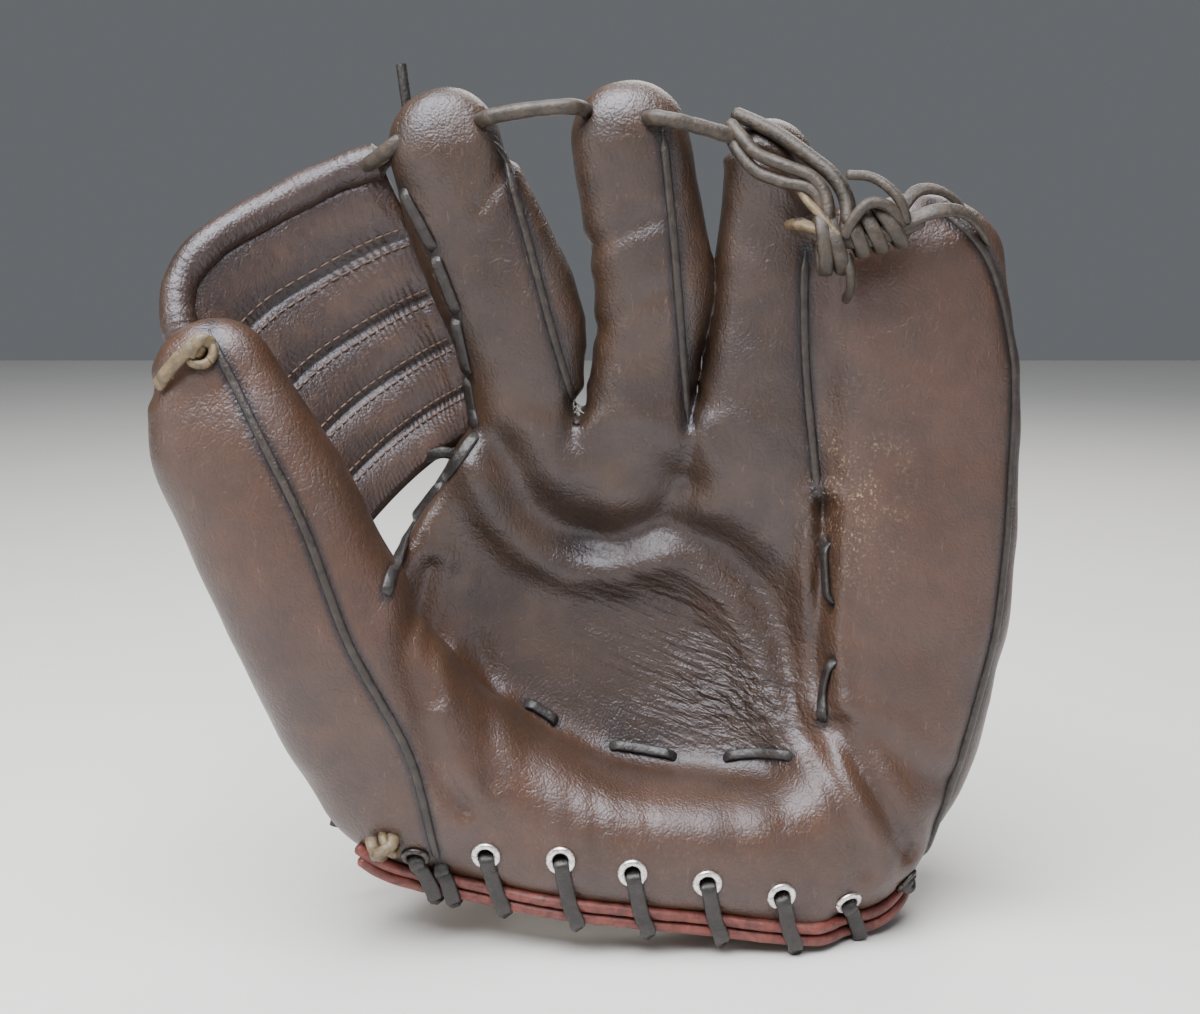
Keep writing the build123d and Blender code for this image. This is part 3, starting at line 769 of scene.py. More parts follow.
def glove_leather(name, dark, light, red, rough=(0.30, 0.50)):
    """Oiled, handled cowhide: mottled, painted shade in creases and beside seams, rubbed on high spots, fine
    grain.
    """
    n = Nodes(name)
    cloud = n.range(n.noise(26, 6, 0.6, 0.6), 0.32, 0.70)
    patch = n.range(n.noise(95, 5, 0.62), 0.35, 0.72)
    blush = n.times(n.attribute("red"), n.range(n.noise(34, 5, 0.6), 0.25, 0.62, 0.35, 1.0))
    colour = n.mix(blush, n.mix(cloud, dark, light), red)
    colour = n.mix(n.times(patch, 0.45), colour, dark)
    high_spots = n.range(n.attribute("bulge"), 0.06, 0.32)
    rubbed = n.times(high_spots, n.range(n.noise(140, 6, 0.7), 0.42, 0.62))
    colour = n.mix(n.times(rubbed, 0.42), colour, RUBBED)
    # Painted shade: creases and the seam mask darkened almost to black.
    sunk_shade = n.math("MAXIMUM", n.range(n.attribute("bulge"), -0.02, -0.28), n.attribute("seam"))
    colour = n.mix(n.times(sunk_shade, 0.85), colour, PAINTED_SHADE)
    scratch = n.range(n.noise(900, 3, 0.5, 1.2, n.stretched(1.0, 1.0, 0.16)), 0.66, 0.74)
    colour = n.mix(n.times(scratch, 0.22), colour, SCRATCHED)
    speck = n.times(n.range(n.noise(1000, 5, 0.7), 0.555, 0.61), n.attribute("scuff"))
    scuff = n.times(speck, n.range(n.noise(120, 4, 0.6), 0.42, 0.60))
    colour = n.mix(n.times(scuff, 0.7), colour, SCUFFED)
    wrinkle = n.noise(210, 7, 0.66, 1.4, n.stretched(1.0, 1.0, 0.55))
    fold_way = n.stretched(0.13, 1.0, 1.0, FOLD_SLANT)
    fold = n.times(n.noise(430, 3, 0.5, 0.5, fold_way), n.attribute("folds"))
    lines = n.range(n.cells(330, "DISTANCE_TO_EDGE", n.stretched(1.0, 1.0, 0.6)), 0.0, 0.10)
    normal = n.bump(wrinkle, 0.0010, 0.36)
    normal = n.bump(fold, 0.0036, 0.9, normal)
    normal = n.bump(lines, 0.00018, 0.35, normal)
    normal = n.bump(n.cells(1150), 0.00030, 0.42, normal)
    normal = n.bump(n.noise(2600, 3, 0.6), 0.00010, 0.6, normal)
    shine = n.math("ADD", n.range(n.noise(48, 5, 0.6), 0.3, 0.7, *rough), n.times(rubbed, -0.10))
    shine = n.math("ADD", shine, n.times(scuff, 0.3))
    return n.finish(colour, shine, normal, Coat_Weight=0.16, Coat_Roughness=0.36, Specular_IOR_Level=0.58,
                    Specular_Tint=(0.86, 0.88, 1.0, 1))


def lace_leather(name, dark, light, rough=(0.42, 0.62), grain=900.0):
    """A cut lace or rolled strip: plain leather with fibres, rubbed edges and small cracks."""
    n = Nodes(name)
    colour = n.mix(n.range(n.noise(260, 6, 0.65, 0.8), 0.32, 0.68), dark, light)
    crack = n.range(n.noise(1500, 4, 0.7), 0.58, 0.68)
    colour = n.mix(n.times(crack, 0.5), colour, dark)
    normal = n.bump(n.noise(420, 6, 0.7, 0.8), 0.0005, 0.6)
    normal = n.bump(n.cells(grain), 0.00018, 0.5, normal)
    shine = n.range(n.noise(200, 4, 0.6), 0.3, 0.7, *rough)
    return n.finish(colour, shine, normal, Coat_Weight=0.06, Coat_Roughness=0.4)


def suede(name, dark, light):
    """Soft lining leather, brushed and grubby."""
    n = Nodes(name)
    colour = n.mix(n.range(n.noise(70, 7, 0.68), 0.3, 0.7), dark, light)
    colour = n.mix(n.times(n.range(n.noise(900, 3, 0.6), 0.5, 0.75), 0.35), colour, dark)
    normal = n.bump(n.noise(1700, 5, 0.75), 0.0003, 0.7)
    return n.finish(colour, 0.88, normal, Sheen_Weight=0.35, Sheen_Roughness=0.45)


def metal(name, bright, dull, rough):
    """Plated metal with tarnish and small scratches."""
    n = Nodes(name)
    worn = n.range(n.noise(700, 6, 0.68), 0.42, 0.68)
    scratches = n.noise(2400, 4, 0.7, 0.4, n.stretched(1.0, 0.3, 1.0))
    shine = n.range(n.noise(900, 4, 0.6), 0.3, 0.7, *rough)
    return n.finish(n.mix(worn, bright, dull), shine, n.bump(scratches, 0.00006, 0.5), Metallic=0.92)


HIDE = glove_leather("oiled_hide", (0.017, 0.0092, 0.0052), (0.058, 0.0315, 0.0175), (0.066, 0.0305, 0.016))
WEB_HIDE = glove_leather("web_hide", (0.019, 0.0105, 0.0072), (0.057, 0.032, 0.021), (0.07, 0.033, 0.019),
                         (0.32, 0.5))
WELT = lace_leather("welt_leather", (0.010, 0.007, 0.006), (0.038, 0.027, 0.022), (0.34, 0.52))
DARK_LACE = lace_leather("dark_lace", (0.006, 0.0045, 0.004), (0.026, 0.020, 0.018), (0.32, 0.50))
RAWHIDE = lace_leather("rawhide_lace", (0.014, 0.010, 0.007), (0.058, 0.041, 0.028))
PALE_LACE = lace_leather("pale_lace", (0.055, 0.037, 0.018), (0.18, 0.125, 0.065))
BINDING = lace_leather("red_binding", (0.055, 0.012, 0.010), (0.19, 0.045, 0.032))
FRAY = lace_leather("frayed_thread", (0.30, 0.27, 0.22), (0.55, 0.52, 0.45), (0.8, 0.95))
LINING = suede("suede_lining", (0.11, 0.058, 0.032), (0.27, 0.165, 0.10))
THREAD = lace_leather("waxed_thread", (0.05, 0.028, 0.02), (0.15, 0.09, 0.06), (0.5, 0.7), 3000.0)
METAL = metal("bright_eyelet", (0.82, 0.81, 0.79), (0.40, 0.36, 0.31), (0.2, 0.42))
DARK_METAL = metal("dark_eyelet", (0.10, 0.09, 0.085), (0.03, 0.026, 0.024), (0.35, 0.6))
BRASS = metal("snap_brass", (0.62, 0.43, 0.20), (0.26, 0.16, 0.075), (0.24, 0.48))


# ---- Leather body ------------------------------------------------------------------------
LACE_HOLES = [(-45.4, -24, 241.8), (-19.5, -25, 244.5), (3.2, -26, 240.5), (27.6, -24, 236.2),
              (-69, -19, 234.5)]
STRETCHES = (("thumb", "thumb fold"), ("hand", "hand"), ("little", "little fold"))
BODY_NODES = {
    "front": (["thumb_front", "thumb_felt"],
              ["palm_leather", "palm_felt", "heel_pad", "index_front", "index_felt", "middle_front",
               "middle_felt", "ring_front", "ring_felt"],
              ["little_front", "little_felt"]),
    "back": (["thumb_back"], ["back_leather", "index_back", "middle_back", "ring_back"], ["little_back"]),
    "lining": (["thumb_lining"],
               ["palm_lining", "back_lining", "index_lining", "middle_lining", "ring_lining"],
               ["little_lining"]),
}


def dent(point, radius, depth):
    """Press a small hole into the leather."""
    gap = np.linalg.norm(verts - np.asarray(point), axis=1)
    near = gap < radius
    verts[near] -= normals[near] * (depth * (1 - (gap[near] / radius) ** 2))[:, None]


def dents():
    """Holes that laces and eyelets go into."""
    for x, z in EYELETS + DARK_EYELETS:
        dent(on_body(x, z)[0], 3.2, 2.6)
    for stitch in PALM_STITCHES:
        for x, z in stitch:
            dent(on_body(x, z)[0], 3.0, 1.6)
    for hole in LACE_HOLES:
        dent(body_tree.find_nearest(Vector(hole))[0], 4.2, 2.6)


def bulges():
    """How far each vertex stands out from its neighbours; creases are negative."""
    curl = averaged(verts, edges, degree) - verts
    bulge = -(curl * normals).sum(1)
    for _ in range(3):
        bulge = averaged(bulge[:, None], edges, degree)[:, 0]
    return bulge


def redness():
    """1 on thumb, little finger and heel, whose leather is redder than the palm's."""
    red = np.zeros(len(verts))
    for rows in (THUMB, LITTLE, HEEL):
        red = np.maximum(red, np.clip((1.35 - limb_maps(rows)[0][cell_of(verts)]) / 0.6, 0, 1))
    return red


def painted_seam_shade(on_palm_side):
    """Mask of painted shade: 1 beside the welts and under the lace stitches."""
    dark = np.zeros(len(verts))
    for line in SEAMS.values():
        away = polyline_distance([tuple(p) for p in smooth_rows(line, 30)], verts[:, 0], verts[:, 2])
        dark = np.maximum(dark, np.exp(-(np.maximum(away - 1.7, 0) / 0.9) ** 2) * on_palm_side)
    for start, end in PALM_STITCHES + EDGE_STITCHES:
        route = [on_body(*(np.array(start) + (np.array(end) - start) * t))[0] for t in np.linspace(0, 1, 16)]
        away = np.min([np.linalg.norm(verts - p, axis=1) for p in route], axis=0)
        dark = np.maximum(dark, 0.8 * np.exp(-(np.maximum(away - 1.6, 0) / 1.0) ** 2) * on_palm_side)
    return dark


def leather_marks(kind):
    """What the leather material reads from the mesh: high spots, tint, scuffs, painted shade and fine folds.
    """
    x, y, z = verts.T
    on_palm_side = np.clip(0.35 - normals[:, 1] * 1.6, 0, 1) * (kind == 0)
    scuffs = hill(x, z, 63, 132, 12, 25) + 0.5 * hill(x, z, -20, 158, 5, 9)
    scuffs = scuffs + 0.12 * np.exp(-((y + 50) / 10) ** 2) * (z < 60)
    folds = (hill(x, z, 27, 66, 20, 13) + 0.45 * hill(x, z, 20, 92, 34, 22)) * on_palm_side
    return {"bulge": bulges(), "red": redness(), "scuff": scuffs, "folds": folds,
            "seam": painted_seam_shade(on_palm_side)}


def leather_pieces():
    """Front, back and lining leather, shaded as if the stretches were still joined."""
    zone, kind = body_split()
    dents()
    marks = leather_marks(kind)
    quad_zone = np.median(zone[quads], axis=1).astype(int)
    quad_kind = np.median(kind[quads], axis=1).astype(int)
    for k, part in enumerate(BODY_NODES):
        slot, material = ("lining_leather", LINING) if part == "lining" else ("glove_leather", HIDE)
        for i, (stretch, body) in enumerate(STRETCHES):
            faces = quads[(quad_zone == i) & (quad_kind == k)]
            used, again = np.unique(faces, return_inverse=True)
            here = {key: values[used] for key, values in marks.items()}
            name = part + "_leather_" + stretch
            obj = make_mesh(name, verts[used], again.reshape(faces.shape), normals[used], here)
            obj.data.materials.append(material)
            fit(obj, BODY_NODES[part][i], body)


leather_pieces()


# ---- Welts -------------------------------------------------------------------------------
def welt(finger, line):
    """The strip sewn into a finger's seam."""
    place, up = on_front(line, -0.15)
    place, up = soften(place, 6), soften(up, 6)
    from_end = np.minimum(np.arange(len(place)), np.arange(len(place))[::-1])
    taper = np.clip(from_end / 4, 0.35, 1)
    obj = Sweep().add(place, 1.3 * taper, 1.25 * taper, up, 14, 2.8).make(finger + "_seam_welt", WELT)
    body = finger + " fold" if finger in ("thumb", "little") else "hand"
    fit(obj, [finger + "_welt"], body)


for finger, line in SEAMS.items():
    welt(finger, line)


# ---- Web ---------------------------------------------------------------------------------
def on_curve(rows, where):
    """Points of a smooth curve, at shares 0 to 1 of its rows."""
    curve = smooth_rows(rows, 200)
    run = np.linspace(0, 1, 200)
    return np.stack([np.interp(where, run, curve[:, i]) for i in range(3)], -1)


def web_point(u, v, side=0.0):
    """Point of the web: u from the thumb to the index finger, v from bottom to top."""
    a, b = on_curve(WEB_THUMB_SIDE, v), on_curve(WEB_INDEX_SIDE, v)
    mid = a + (b - a) * u[..., None]
    top = on_curve(ROLL[1:], u) - (0, 0, 2.5)
    flat_top = WEB_THUMB_SIDE[-1] + (np.array(WEB_INDEX_SIDE[-1]) - WEB_THUMB_SIDE[-1]) * u[..., None]
    mid = mid + (top - flat_top) * (v ** 1.8)[..., None]
    belly = 4 * u * (1 - u)
    mid[..., 1] += WEB_BULGE * belly * (0.55 + 0.45 * np.sin(np.pi * np.clip(v, 0, 1) ** 0.8)) * (1 - v ** 6)
    mid[..., 2] += 3.0 * belly * (1 - v)
    puff = np.abs(np.sin(np.pi * WEB_CHANNELS * v)) ** 0.55
    edge = np.clip(np.minimum(np.minimum(u, 1 - u) * 9, np.minimum(v, 1 - v) * 30), 0, 1) ** 0.5
    thick = WEB_HALF_THICK * (0.25 + 0.75 * puff) * edge
    rumple = 0.75 * noise2(u * 9, v * 5, 21) + 0.45 * noise2(u * 19, v * 11 + u * 6, 22)
    pleat = np.sin(2 * np.pi * (u * 33 + 1.6 * noise2(u * 5, v * 7, 23) + 1.3 * v))
    pleat = pleat * (0.35 + 0.65 * np.clip(0.5 + noise2(u * 4 + 9, v * 5, 24), 0, 1)) * (1 - 0.6 * puff ** 4)
    mid[..., 1] += side * (thick + (0.8 * rumple * puff + 0.13 * pleat) * edge) + 0.5 * rumple * edge
    return mid


def closed_sheet(name, front, back, turned, marks):
    """Mesh of two grids of points and the walls round their rim."""
    size = front.shape[0] * front.shape[1]
    number = np.arange(size).reshape(front.shape[:2])
    face = np.stack([number[:-1, :-1], number[1:, :-1], number[1:, 1:], number[:-1, 1:]], 2).reshape(-1, 4)
    rim = np.concatenate([number[:, 0], number[-1, 1:], number[-2::-1, -1], number[0, -2:0:-1]])
    walls = np.stack([rim + size, np.roll(rim, -1) + size, np.roll(rim, -1), rim], 1)
    faces = np.concatenate([face, face[:, ::-1] + size, walls])
    if turned:
        faces = faces[:, ::-1]
    points = np.concatenate([front.reshape(-1, 3), back.reshape(-1, 3)])
    flat = np.zeros(len(points))
    return make_mesh(name, points, faces, None, {key: flat + value for key, value in marks.items()})


def web_panel():
    """The stuffed panel between thumb and index finger."""
    u, v = np.meshgrid(np.linspace(0, 1, 210), np.linspace(0, 1, 180), indexing="ij")
    # Made-up bulge map: painted shade in the stitched grooves between channels, slightly rubbed channel tops.
    bulge = 0.12 - 0.34 * (1 - np.abs(np.sin(np.pi * WEB_CHANNELS * v)) ** 0.5)
    marks = {"bulge": np.tile(bulge.ravel(), 2), "red": 0.15, "scuff": 0, "seam": 0}
    obj = closed_sheet("web_panel", web_point(u, v, -1.0), web_point(u, v, 1.0), False, marks)
    obj.data.materials.append(WEB_HIDE)
    fit(obj, ["web_panel_index", "web_panel_thumb"], "web fold")


def web_stitching():
    """Double rows of thread between the channels, on both faces."""
    sweep = Sweep()
    for border in range(1, WEB_CHANNELS):
        for row in (-0.024, 0.024):
            for side in (-1.0, 1.0):
                for u in np.arange(0.06, 0.95, 0.043):
                    v = np.full(4, border / WEB_CHANNELS + row)
                    line = web_point(np.linspace(u, u + 0.028, 4), v, side)
                    line[:, 1] += side * np.array([0.05, 0.4, 0.4, 0.05])
                    sweep.add(line, 0.34, 0.34, None, 6)
    fit(sweep.make("web_stitching", THREAD), None, "web fold")


def web_roll():
    """The stuffed roll along the web's top."""
    step = 0.4
    route = along(ROLL, step)
    run = np.arange(len(route)) * step
    ripple = (0.05 * np.sin(2 * np.pi * (run / 2.3 + 0.8 * noise2(run / 7, run * 0, 30)))
              + 0.10 * noise2(run / 2.6, run * 0, 31) + 0.35 * noise2(run / 9, run * 0, 32) - 0.25)
    swell = ROLL_RADIUS * np.clip(np.minimum(run, run[::-1]) / 5 + 0.6, 0, 1) + ripple
    roll = Sweep().add(route, swell, None, None, 40)
    points = np.concatenate(roll.verts)
    flat = np.zeros(len(points))
    marks = {"bulge": flat + 0.06, "red": flat + 0.15, "scuff": flat, "seam": flat}
    obj = make_mesh("web_roll", points, np.concatenate(roll.faces), None, marks)
    obj.data.materials.append(WEB_HIDE)
    fit(obj, ["web_roll_index", "web_roll_thumb"], "web fold")


web_panel()
web_stitching()
web_roll()


# ---- Laces -------------------------------------------------------------------------------
def lace_over(sweep, start, end, width=1.65, rise=0.8, dip=2.2, facing=0.0):
    """A flat lace stitch lying on the front leather and diving in at both ends."""
    place, up = on_front([start, end], 0.0, 0.9)
    up = up + facing * np.array((0, -1, 0))
    up /= np.linalg.norm(up, axis=1, keepdims=True)
    t = np.linspace(0, 1, len(place))
    hump = np.minimum(1, np.minimum(t, 1 - t) * 7)
    place = place + up * (rise * hump - dip * (1 - hump) ** 2)[:, None]
    sweep.add(place, width, 0.8, up, 12, 3.4)


def stitch_laces():
    """Flat stitches round the pocket, down the index finger's edge, and across the web's lower corner."""
    sweep = Sweep()
    for start, end in PALM_STITCHES:
        lace_over(sweep, start, end)
    fit(sweep.make("palm_lace_stitches", DARK_LACE), ["palm_lace"], "hand")
    sweep = Sweep()
    for start, end in EDGE_STITCHES:
        lace_over(sweep, start, end, 1.75, 0.85, 1.8, 1.2)
    fit(sweep.make("index_edge_lacing", DARK_LACE), ["index_edge_lace"], "thumb fold")
    across = along([(-56, -8, 142), (-61, -9, 143), (-67, -6, 140.5), (-72, -1, 139)], 0.8)
    sweep = Sweep().add(across, 1.8, 0.8, (0, -1, 0.2), 12, 3.0)
    fit(sweep.make("web_corner_lacing", DARK_LACE), None, "thumb fold")


# Held laces between the fingertips: route, radius and node.
TIP_STRANDS = {
    "web_to_index_strand": ([(-84, -12, 228), (-80, -18, 229), (-75.5, -21.5, 231.5), (-70.5, -24, 235),
                             (-66, -20, 237), (-62, -14, 238)], 2.3, "web_to_index_lace"),
    "index_to_middle_strand": ([(-52, -15, 240), (-47.5, -23, 241), (-43, -29, 242), (-33, -30.5, 243.6),
                                (-23, -30.5, 244.5), (-18.5, -27, 244.5), (-14, -16, 243)], 2.2,
                               "index_to_middle_lace"),
    "middle_to_ring_strand": ([(-4, -16, 241), (0, -25, 241.5), (4, -31.5, 241.5), (14, -30.5, 239.5),
                               (25, -27.5, 236.5), (30, -22, 235), (34, -14, 233)], 2.2,
                              "middle_to_ring_lace"),
}


def tip_strand(name, points, radius, node):
    """A lace pulled tight from one tip to the next."""
    route = along(points, 0.8)
    run = np.arange(len(route))
    wobble = radius * (1 + 0.07 * noise2(run / 3.0, run * 0, len(name)))
    obj = Sweep().add(route, wobble, wobble, None, 14, 2.4).make(name, RAWHIDE)
    fit(obj, [node], "hand")


def coil(sweep, start, end, turns, radius, lace, phase):
    """A lace wound round a short bundle."""
    start, end = np.array(start, float), np.array(end, float)
    axis = (end - start) / np.linalg.norm(end - start)
    one = np.cross(axis, (0, 1, 0))
    one /= np.linalg.norm(one)
    two = np.cross(axis, one)
    t = np.linspace(0, 1, int(turns * 20))[:, None]
    turn = 2 * np.pi * turns * t + phase
    route = start + (end - start) * t + radius * np.cos(turn) * one + radius * np.sin(turn) * two
    sweep.add(route, lace, lace * 0.8, None, 12, 2.6)


def loop(sweep, centre, high, deep, lean, lace):
    """One closed turn of lace, upright, its top leaning to the left."""
    t = np.linspace(0, 2 * np.pi, 44)
    x = centre[0] - lean * np.sin(t)
    route = np.stack([x, centre[1] + deep * np.cos(t), centre[2] + high * np.sin(t)], 1)
    out = np.stack([0 * t, np.cos(t), np.sin(t)], 1)
    sweep.add(route, lace, lace * 0.72, out, 12, 2.8, False)


# Knot between ring and little finger. Turns: centre, half height, half depth, lean.
KNOT_TURNS = [((50.2, -37.5, 206.5), 7.8, 4.8, 1.0), ((53.8, -37.5, 206), 7.0, 4.9, 2.2),
              ((59.4, -38.5, 208.5), 5.0, 4.2, 2.2), ((63.8, -38.5, 210), 5.2, 4.4, 3.0),
              ((68.6, -38.5, 211.6), 5.2, 4.4, 3.8)]
KNOT_CORE = [(44, -33, 211.5), (50, -38, 209), (60, -40, 207.5), (70, -40, 210), (77, -38, 213)]
KNOT_TUCK = [(56, -42, 209), (58, -43.5, 213.5), (62, -44, 217.6), (67, -43.5, 217), (71, -42, 213),
             (73, -38, 209)]
KNOT_UP_END = [(73, -42, 213), (71, -43, 218), (67, -42, 222.5), (62.5, -40, 225), (57, -39, 225.5)]
KNOT_DOWN_END = [(57, -40, 203), (58, -41, 198), (58.3, -37, 193), (58.3, -31, 191)]
KNOT_TO_SEAM = [(70, -41, 211), (76, -41.5, 214), (83, -40.5, 215.8), (90, -36.5, 215), (96.5, -29.5, 210.5),
                (101.5, -20, 204), (103.5, -9, 198)]
KNOT_OVER_TIP = [(72, -37, 216), (77, -33, 221), (84, -28.5, 221.5), (91, -23, 218), (97, -16, 212)]
# Three strands from the middle finger's lace over the ring fingertip into the knot.
RING_STRANDS = [
    ([(27, -20, 243), (33, -25, 240), (39, -28, 236.5), (46.5, -31, 231), (53, -34, 225.5), (56.8, -36, 219),
      (57, -38, 212), (54, -38, 205)], 2.35, 2.1, 14),
    ([(25, -25, 240), (28, -29, 236), (32, -32, 231.5), (40, -34.5, 228), (47, -36, 225), (50.7, -37.5, 220),
      (51.5, -39, 213), (50, -38, 206)], 2.1, 1.8, 14),
    ([(24.5, -25, 237.5), (27, -29, 232), (32, -32, 226.5), (39.5, -34.5, 223.5), (46, -36, 222),
      (49.2, -37, 218), (49, -37, 212)], 2.1, 1.8, 14),
]
SIDE_STRANDS = [([(43, -33, 222.5), (46.5, -38, 217.5), (50.5, -40.5, 213), (54, -42, 209)], 1.6, 1.1, 12),
                ([(42, -29, 212), (43.5, -34, 211.8), (47, -38, 211), (51, -41, 209.5)], 1.9, 1.3, 12)]


def little_finger_knot():
    """The big knot and its two free-looking ends, held on the little finger."""
    knot = Sweep()
    for centre, high, deep, lean in KNOT_TURNS:
        loop(knot, centre, high, deep, lean, 2.1)
    knot.lace(KNOT_CORE, 2.4, 2.4, None, 2.6)
    knot.lace(KNOT_TUCK, 1.9, 1.6, None, 2.6)
    knot.lace(KNOT_UP_END, 1.9, 1.35, None, 3.0)
    knot.lace(KNOT_DOWN_END, 1.8, 1.3)
    knot.lace(KNOT_TO_SEAM, 2.2, 0.95, (0.25, -0.75, 0.6), 3.2)
    knot.lace(KNOT_OVER_TIP, 2.0, 0.95, (0.25, -0.6, 0.75), 3.2)
    fit(knot.make("ring_little_knot", RAWHIDE), ["little_finger_knot"], "little_finger")


def ring_strands(name, rows, material, square):
    """Strands where the little finger leaves the ring finger, built in place with their transform baked."""
    sweep = Sweep()
    for points, wide, high, sides in rows:
        sweep.lace(points, wide, high, None, square, sides)
    obj = sweep.make(name, material)
    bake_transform(obj)


def thumb_knot():
    """A loop and a short end of pale lace at the thumb's tip."""
    at, up = on_body(-122.3, 177.0)
    knot = Sweep()
    knot.add(ring_on(at, up, 3.6, 1.5, 2.4), 1.35, 1.25, up, 12, 2.4, False)
    end = [at - up, at + up * 2.0, at + up * 3.2 + (-1.5, 0, 0.8), at + up * 3.0 + (-4.5, 0, -1.2),
           at + up * 2.2 + (-9, 0, -5.5), at + up * 1.2 + (-12.5, 2.0, -9.3)]
    knot.add(along(end, 0.8), 2.0, 1.15, up, 12, 3.0)
    tuck = [at + up + (3.4, 0, 2.4), at + up * 3.0 + (0.5, 0, 3.0), at + up * 3.2 + (-2.4, 0, -1.2)]
    knot.add(along(tuck, 0.8), 1.7, 1.1, up, 12, 2.8)
    fit(knot.make("thumb_tip_knot", PALE_LACE), ["thumb_knot"], "thumb")


def frayed_thread():
    """Loose thread ends where the index finger's welt stops."""
    sweep = Sweep()
    at, up = on_body(-20.5, 156)
    for _ in range(22):
        way = rng.normal(size=3) * (1.6, 0.9, 2.6) + (0, 0, -0.8)
        start = at + rng.normal(size=3) * (1.5, 0.3, 2.2)
        hair = [start, start + up * 1.1 + 0.5 * way, start + up * (0.3 + 1.2 * rng.random()) + way]
        sweep.add(along(hair, 0.4), 0.16, 0.16, None, 6)
    fit(sweep.make("frayed_thread", FRAY), None, "hand")


stitch_laces()
for name, (points, radius, node) in TIP_STRANDS.items():
    tip_strand(name, points, radius, node)
little_finger_knot()
ring_strands("ring_tip_strands", RING_STRANDS, RAWHIDE, 2.4)
ring_strands("ring_side_strands", SIDE_STRANDS, PALE_LACE, 2.8)
thumb_knot()
frayed_thread()


# ---- Heel: bindings, eyelets and lace ------------------------------------------------------
def heel_lines():
    """Middle lines of the upper and the lower binding."""
    upper = []
    for x, _, z in along([(x, 0, z) for x, z in HEEL_EDGE], 1.0):
        upper.append((x, on_body(x, z + 2.0)[0][1] - 0.2, z))
    upper = np.array(upper)
    soften(upper[:, 1], 6)
    return upper, upper + np.array([0.6, 0.9, -4.1])


def heel_bindings(upper, lower):
    """Two thin red rolls, each in three stretches."""
    for name, low, high, body in (("_thumb", -200, -49, "thumb fold"), ("", -49, 72, "hand"),
                                  ("_little", 72, 200, "little fold")):
        chosen = (upper[:, 0] >= low - 1.2) & (upper[:, 0] <= high + 0.2)
        count = chosen.sum()
        ripple = 1.75 + 0.08 * noise2(np.arange(count) / 2.5, np.zeros(count), 41)
        sweep = Sweep()
        for line in (upper, lower):
            sweep.add(line[chosen], ripple, ripple, None, 14, 2.2)
        nodes = ["heel_binding_upper" + name, "heel_binding_lower" + name]
        fit(sweep.make("heel_binding_rolls" + name, BINDING), nodes, body)


def on_line(line, x):
    """Point of a binding's middle line at x."""
    return np.array([np.interp(x, line[:, 0], line[:, i]) for i in range(3)])


def heel_stitch(sweep, x, z, lean=4.5):
    """Lace from an eyelet down over both bindings and under."""
    at, up = on_body(x, z)
    over, under = on_line(upper, x + lean * 0.6), on_line(lower, x + lean)
    offsets = ((over, (0, -2.7, 0.4)), (under, (0, -2.8, 0)), (under, (0.4, -1.2, -2.5)),
               (under, (0.8, 2.5, -2.2)), (over, (1.5, 4.0, -0.5)))
    route = [at - up * 2.2, at + up * 0.9 + (0.4, 0, -1.8), 0.5 * (at + over) + up * 1.2]
    points = along(route + [place + np.array(offset) for place, offset in offsets], 0.8)
    tail = np.clip((np.arange(len(points)) - len(points) * 0.72) / (len(points) * 0.2), 0, 1)[:, None]
    ups = np.array([0.0, -1.0, 0.15]) * (1 - tail) + np.array([0, 0, -1.0]) * tail
    sweep.add(points, 2.35, 0.8, ups, 12, 3.4)


def eyelets_and_lace():
    """A metal ring round each hole, and a stitch of lace out of it."""
    for name, places, material, body in (("", EYELETS, METAL, "hand"),
                                         ("_thumb", DARK_EYELETS[:1], DARK_METAL, "thumb fold"),
                                         ("_little", DARK_EYELETS[1:], DARK_METAL, "little fold")):
        rings, laces = Sweep(), Sweep()
        for x, z in places:
            at, up = on_body(x, z)
            rings.add(ring_on(at, up, 3.35, 0.45), 1.05, 0.79, up, 10, 2.0, False)
            heel_stitch(laces, x, z)
        if name == "_thumb":
            heel_stitch(laces, -60, 24, 3.0)
        fit(rings.make("eyelet_rings" + name, material), ["heel_eyelets" + name], body)
        fit(laces.make("heel_lacing" + name, DARK_LACE), ["heel_lace" + name], body)


def heel_end_knot():
    """Small knot of pale lace where the heel lace ends at the thumb side."""
    knot = Sweep()
    at, up = on_body(-76, 33)
    coil(knot, at + up * 1.0 + (-2.5, 0, -1), at + up * 1.6 + (3, 0, 1), 1.5, 2.8, 1.7, 0.2)
    knot.add(along([at + (2, 2, 4), at + (3, -4, 1), at + (-1, -5, -1.5), at + (-3, 0, -4)], 0.8), 1.8, 1.3,
             None, 12, 2.6)
    fit(knot.make("heel_end_knot", PALE_LACE), None, "thumb fold")


upper, lower = heel_lines()
heel_bindings(upper, lower)
eyelets_and_lace()
heel_end_knot()


def free_lace(name, points, node, body):
    """A lace end hanging free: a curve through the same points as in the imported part."""
    data = bpy.data.curves.new(name, "CURVE")
    data.dimensions = "3D"
    data.bevel_depth = TAIL / 2 * MM
    data.bevel_resolution = 4
    data.use_fill_caps = True
    line = data.splines.new("NURBS")
    line.points.add(len(points) - 1)
    for target, point in zip(line.points, points):
        target.co = (*[c * MM for c in point], 1)
    line.order_u = 3
    line.use_endpoint_u = True
    data.materials.append(DARK_LACE)
    obj = bpy.data.objects.new(name, data)
    bpy.context.collection.objects.link(obj)
    fit(obj, [node], body)


def tail_root():
    """The index lace end's start, from its hole to where it comes free."""
    root = Sweep().add(along(INDEX_TAIL_ROOT, 0.8), TAIL / 2, TAIL / 2, None, 14)
    fit(root.make("index_tail_root", DARK_LACE), None, "hand")


tail_root()
free_lace("index_tail", INDEX_TAIL, "index_lace_tail", "hand")
free_lace("heel_tail", HEEL_TAIL, "heel_lace_tail", "thumb")


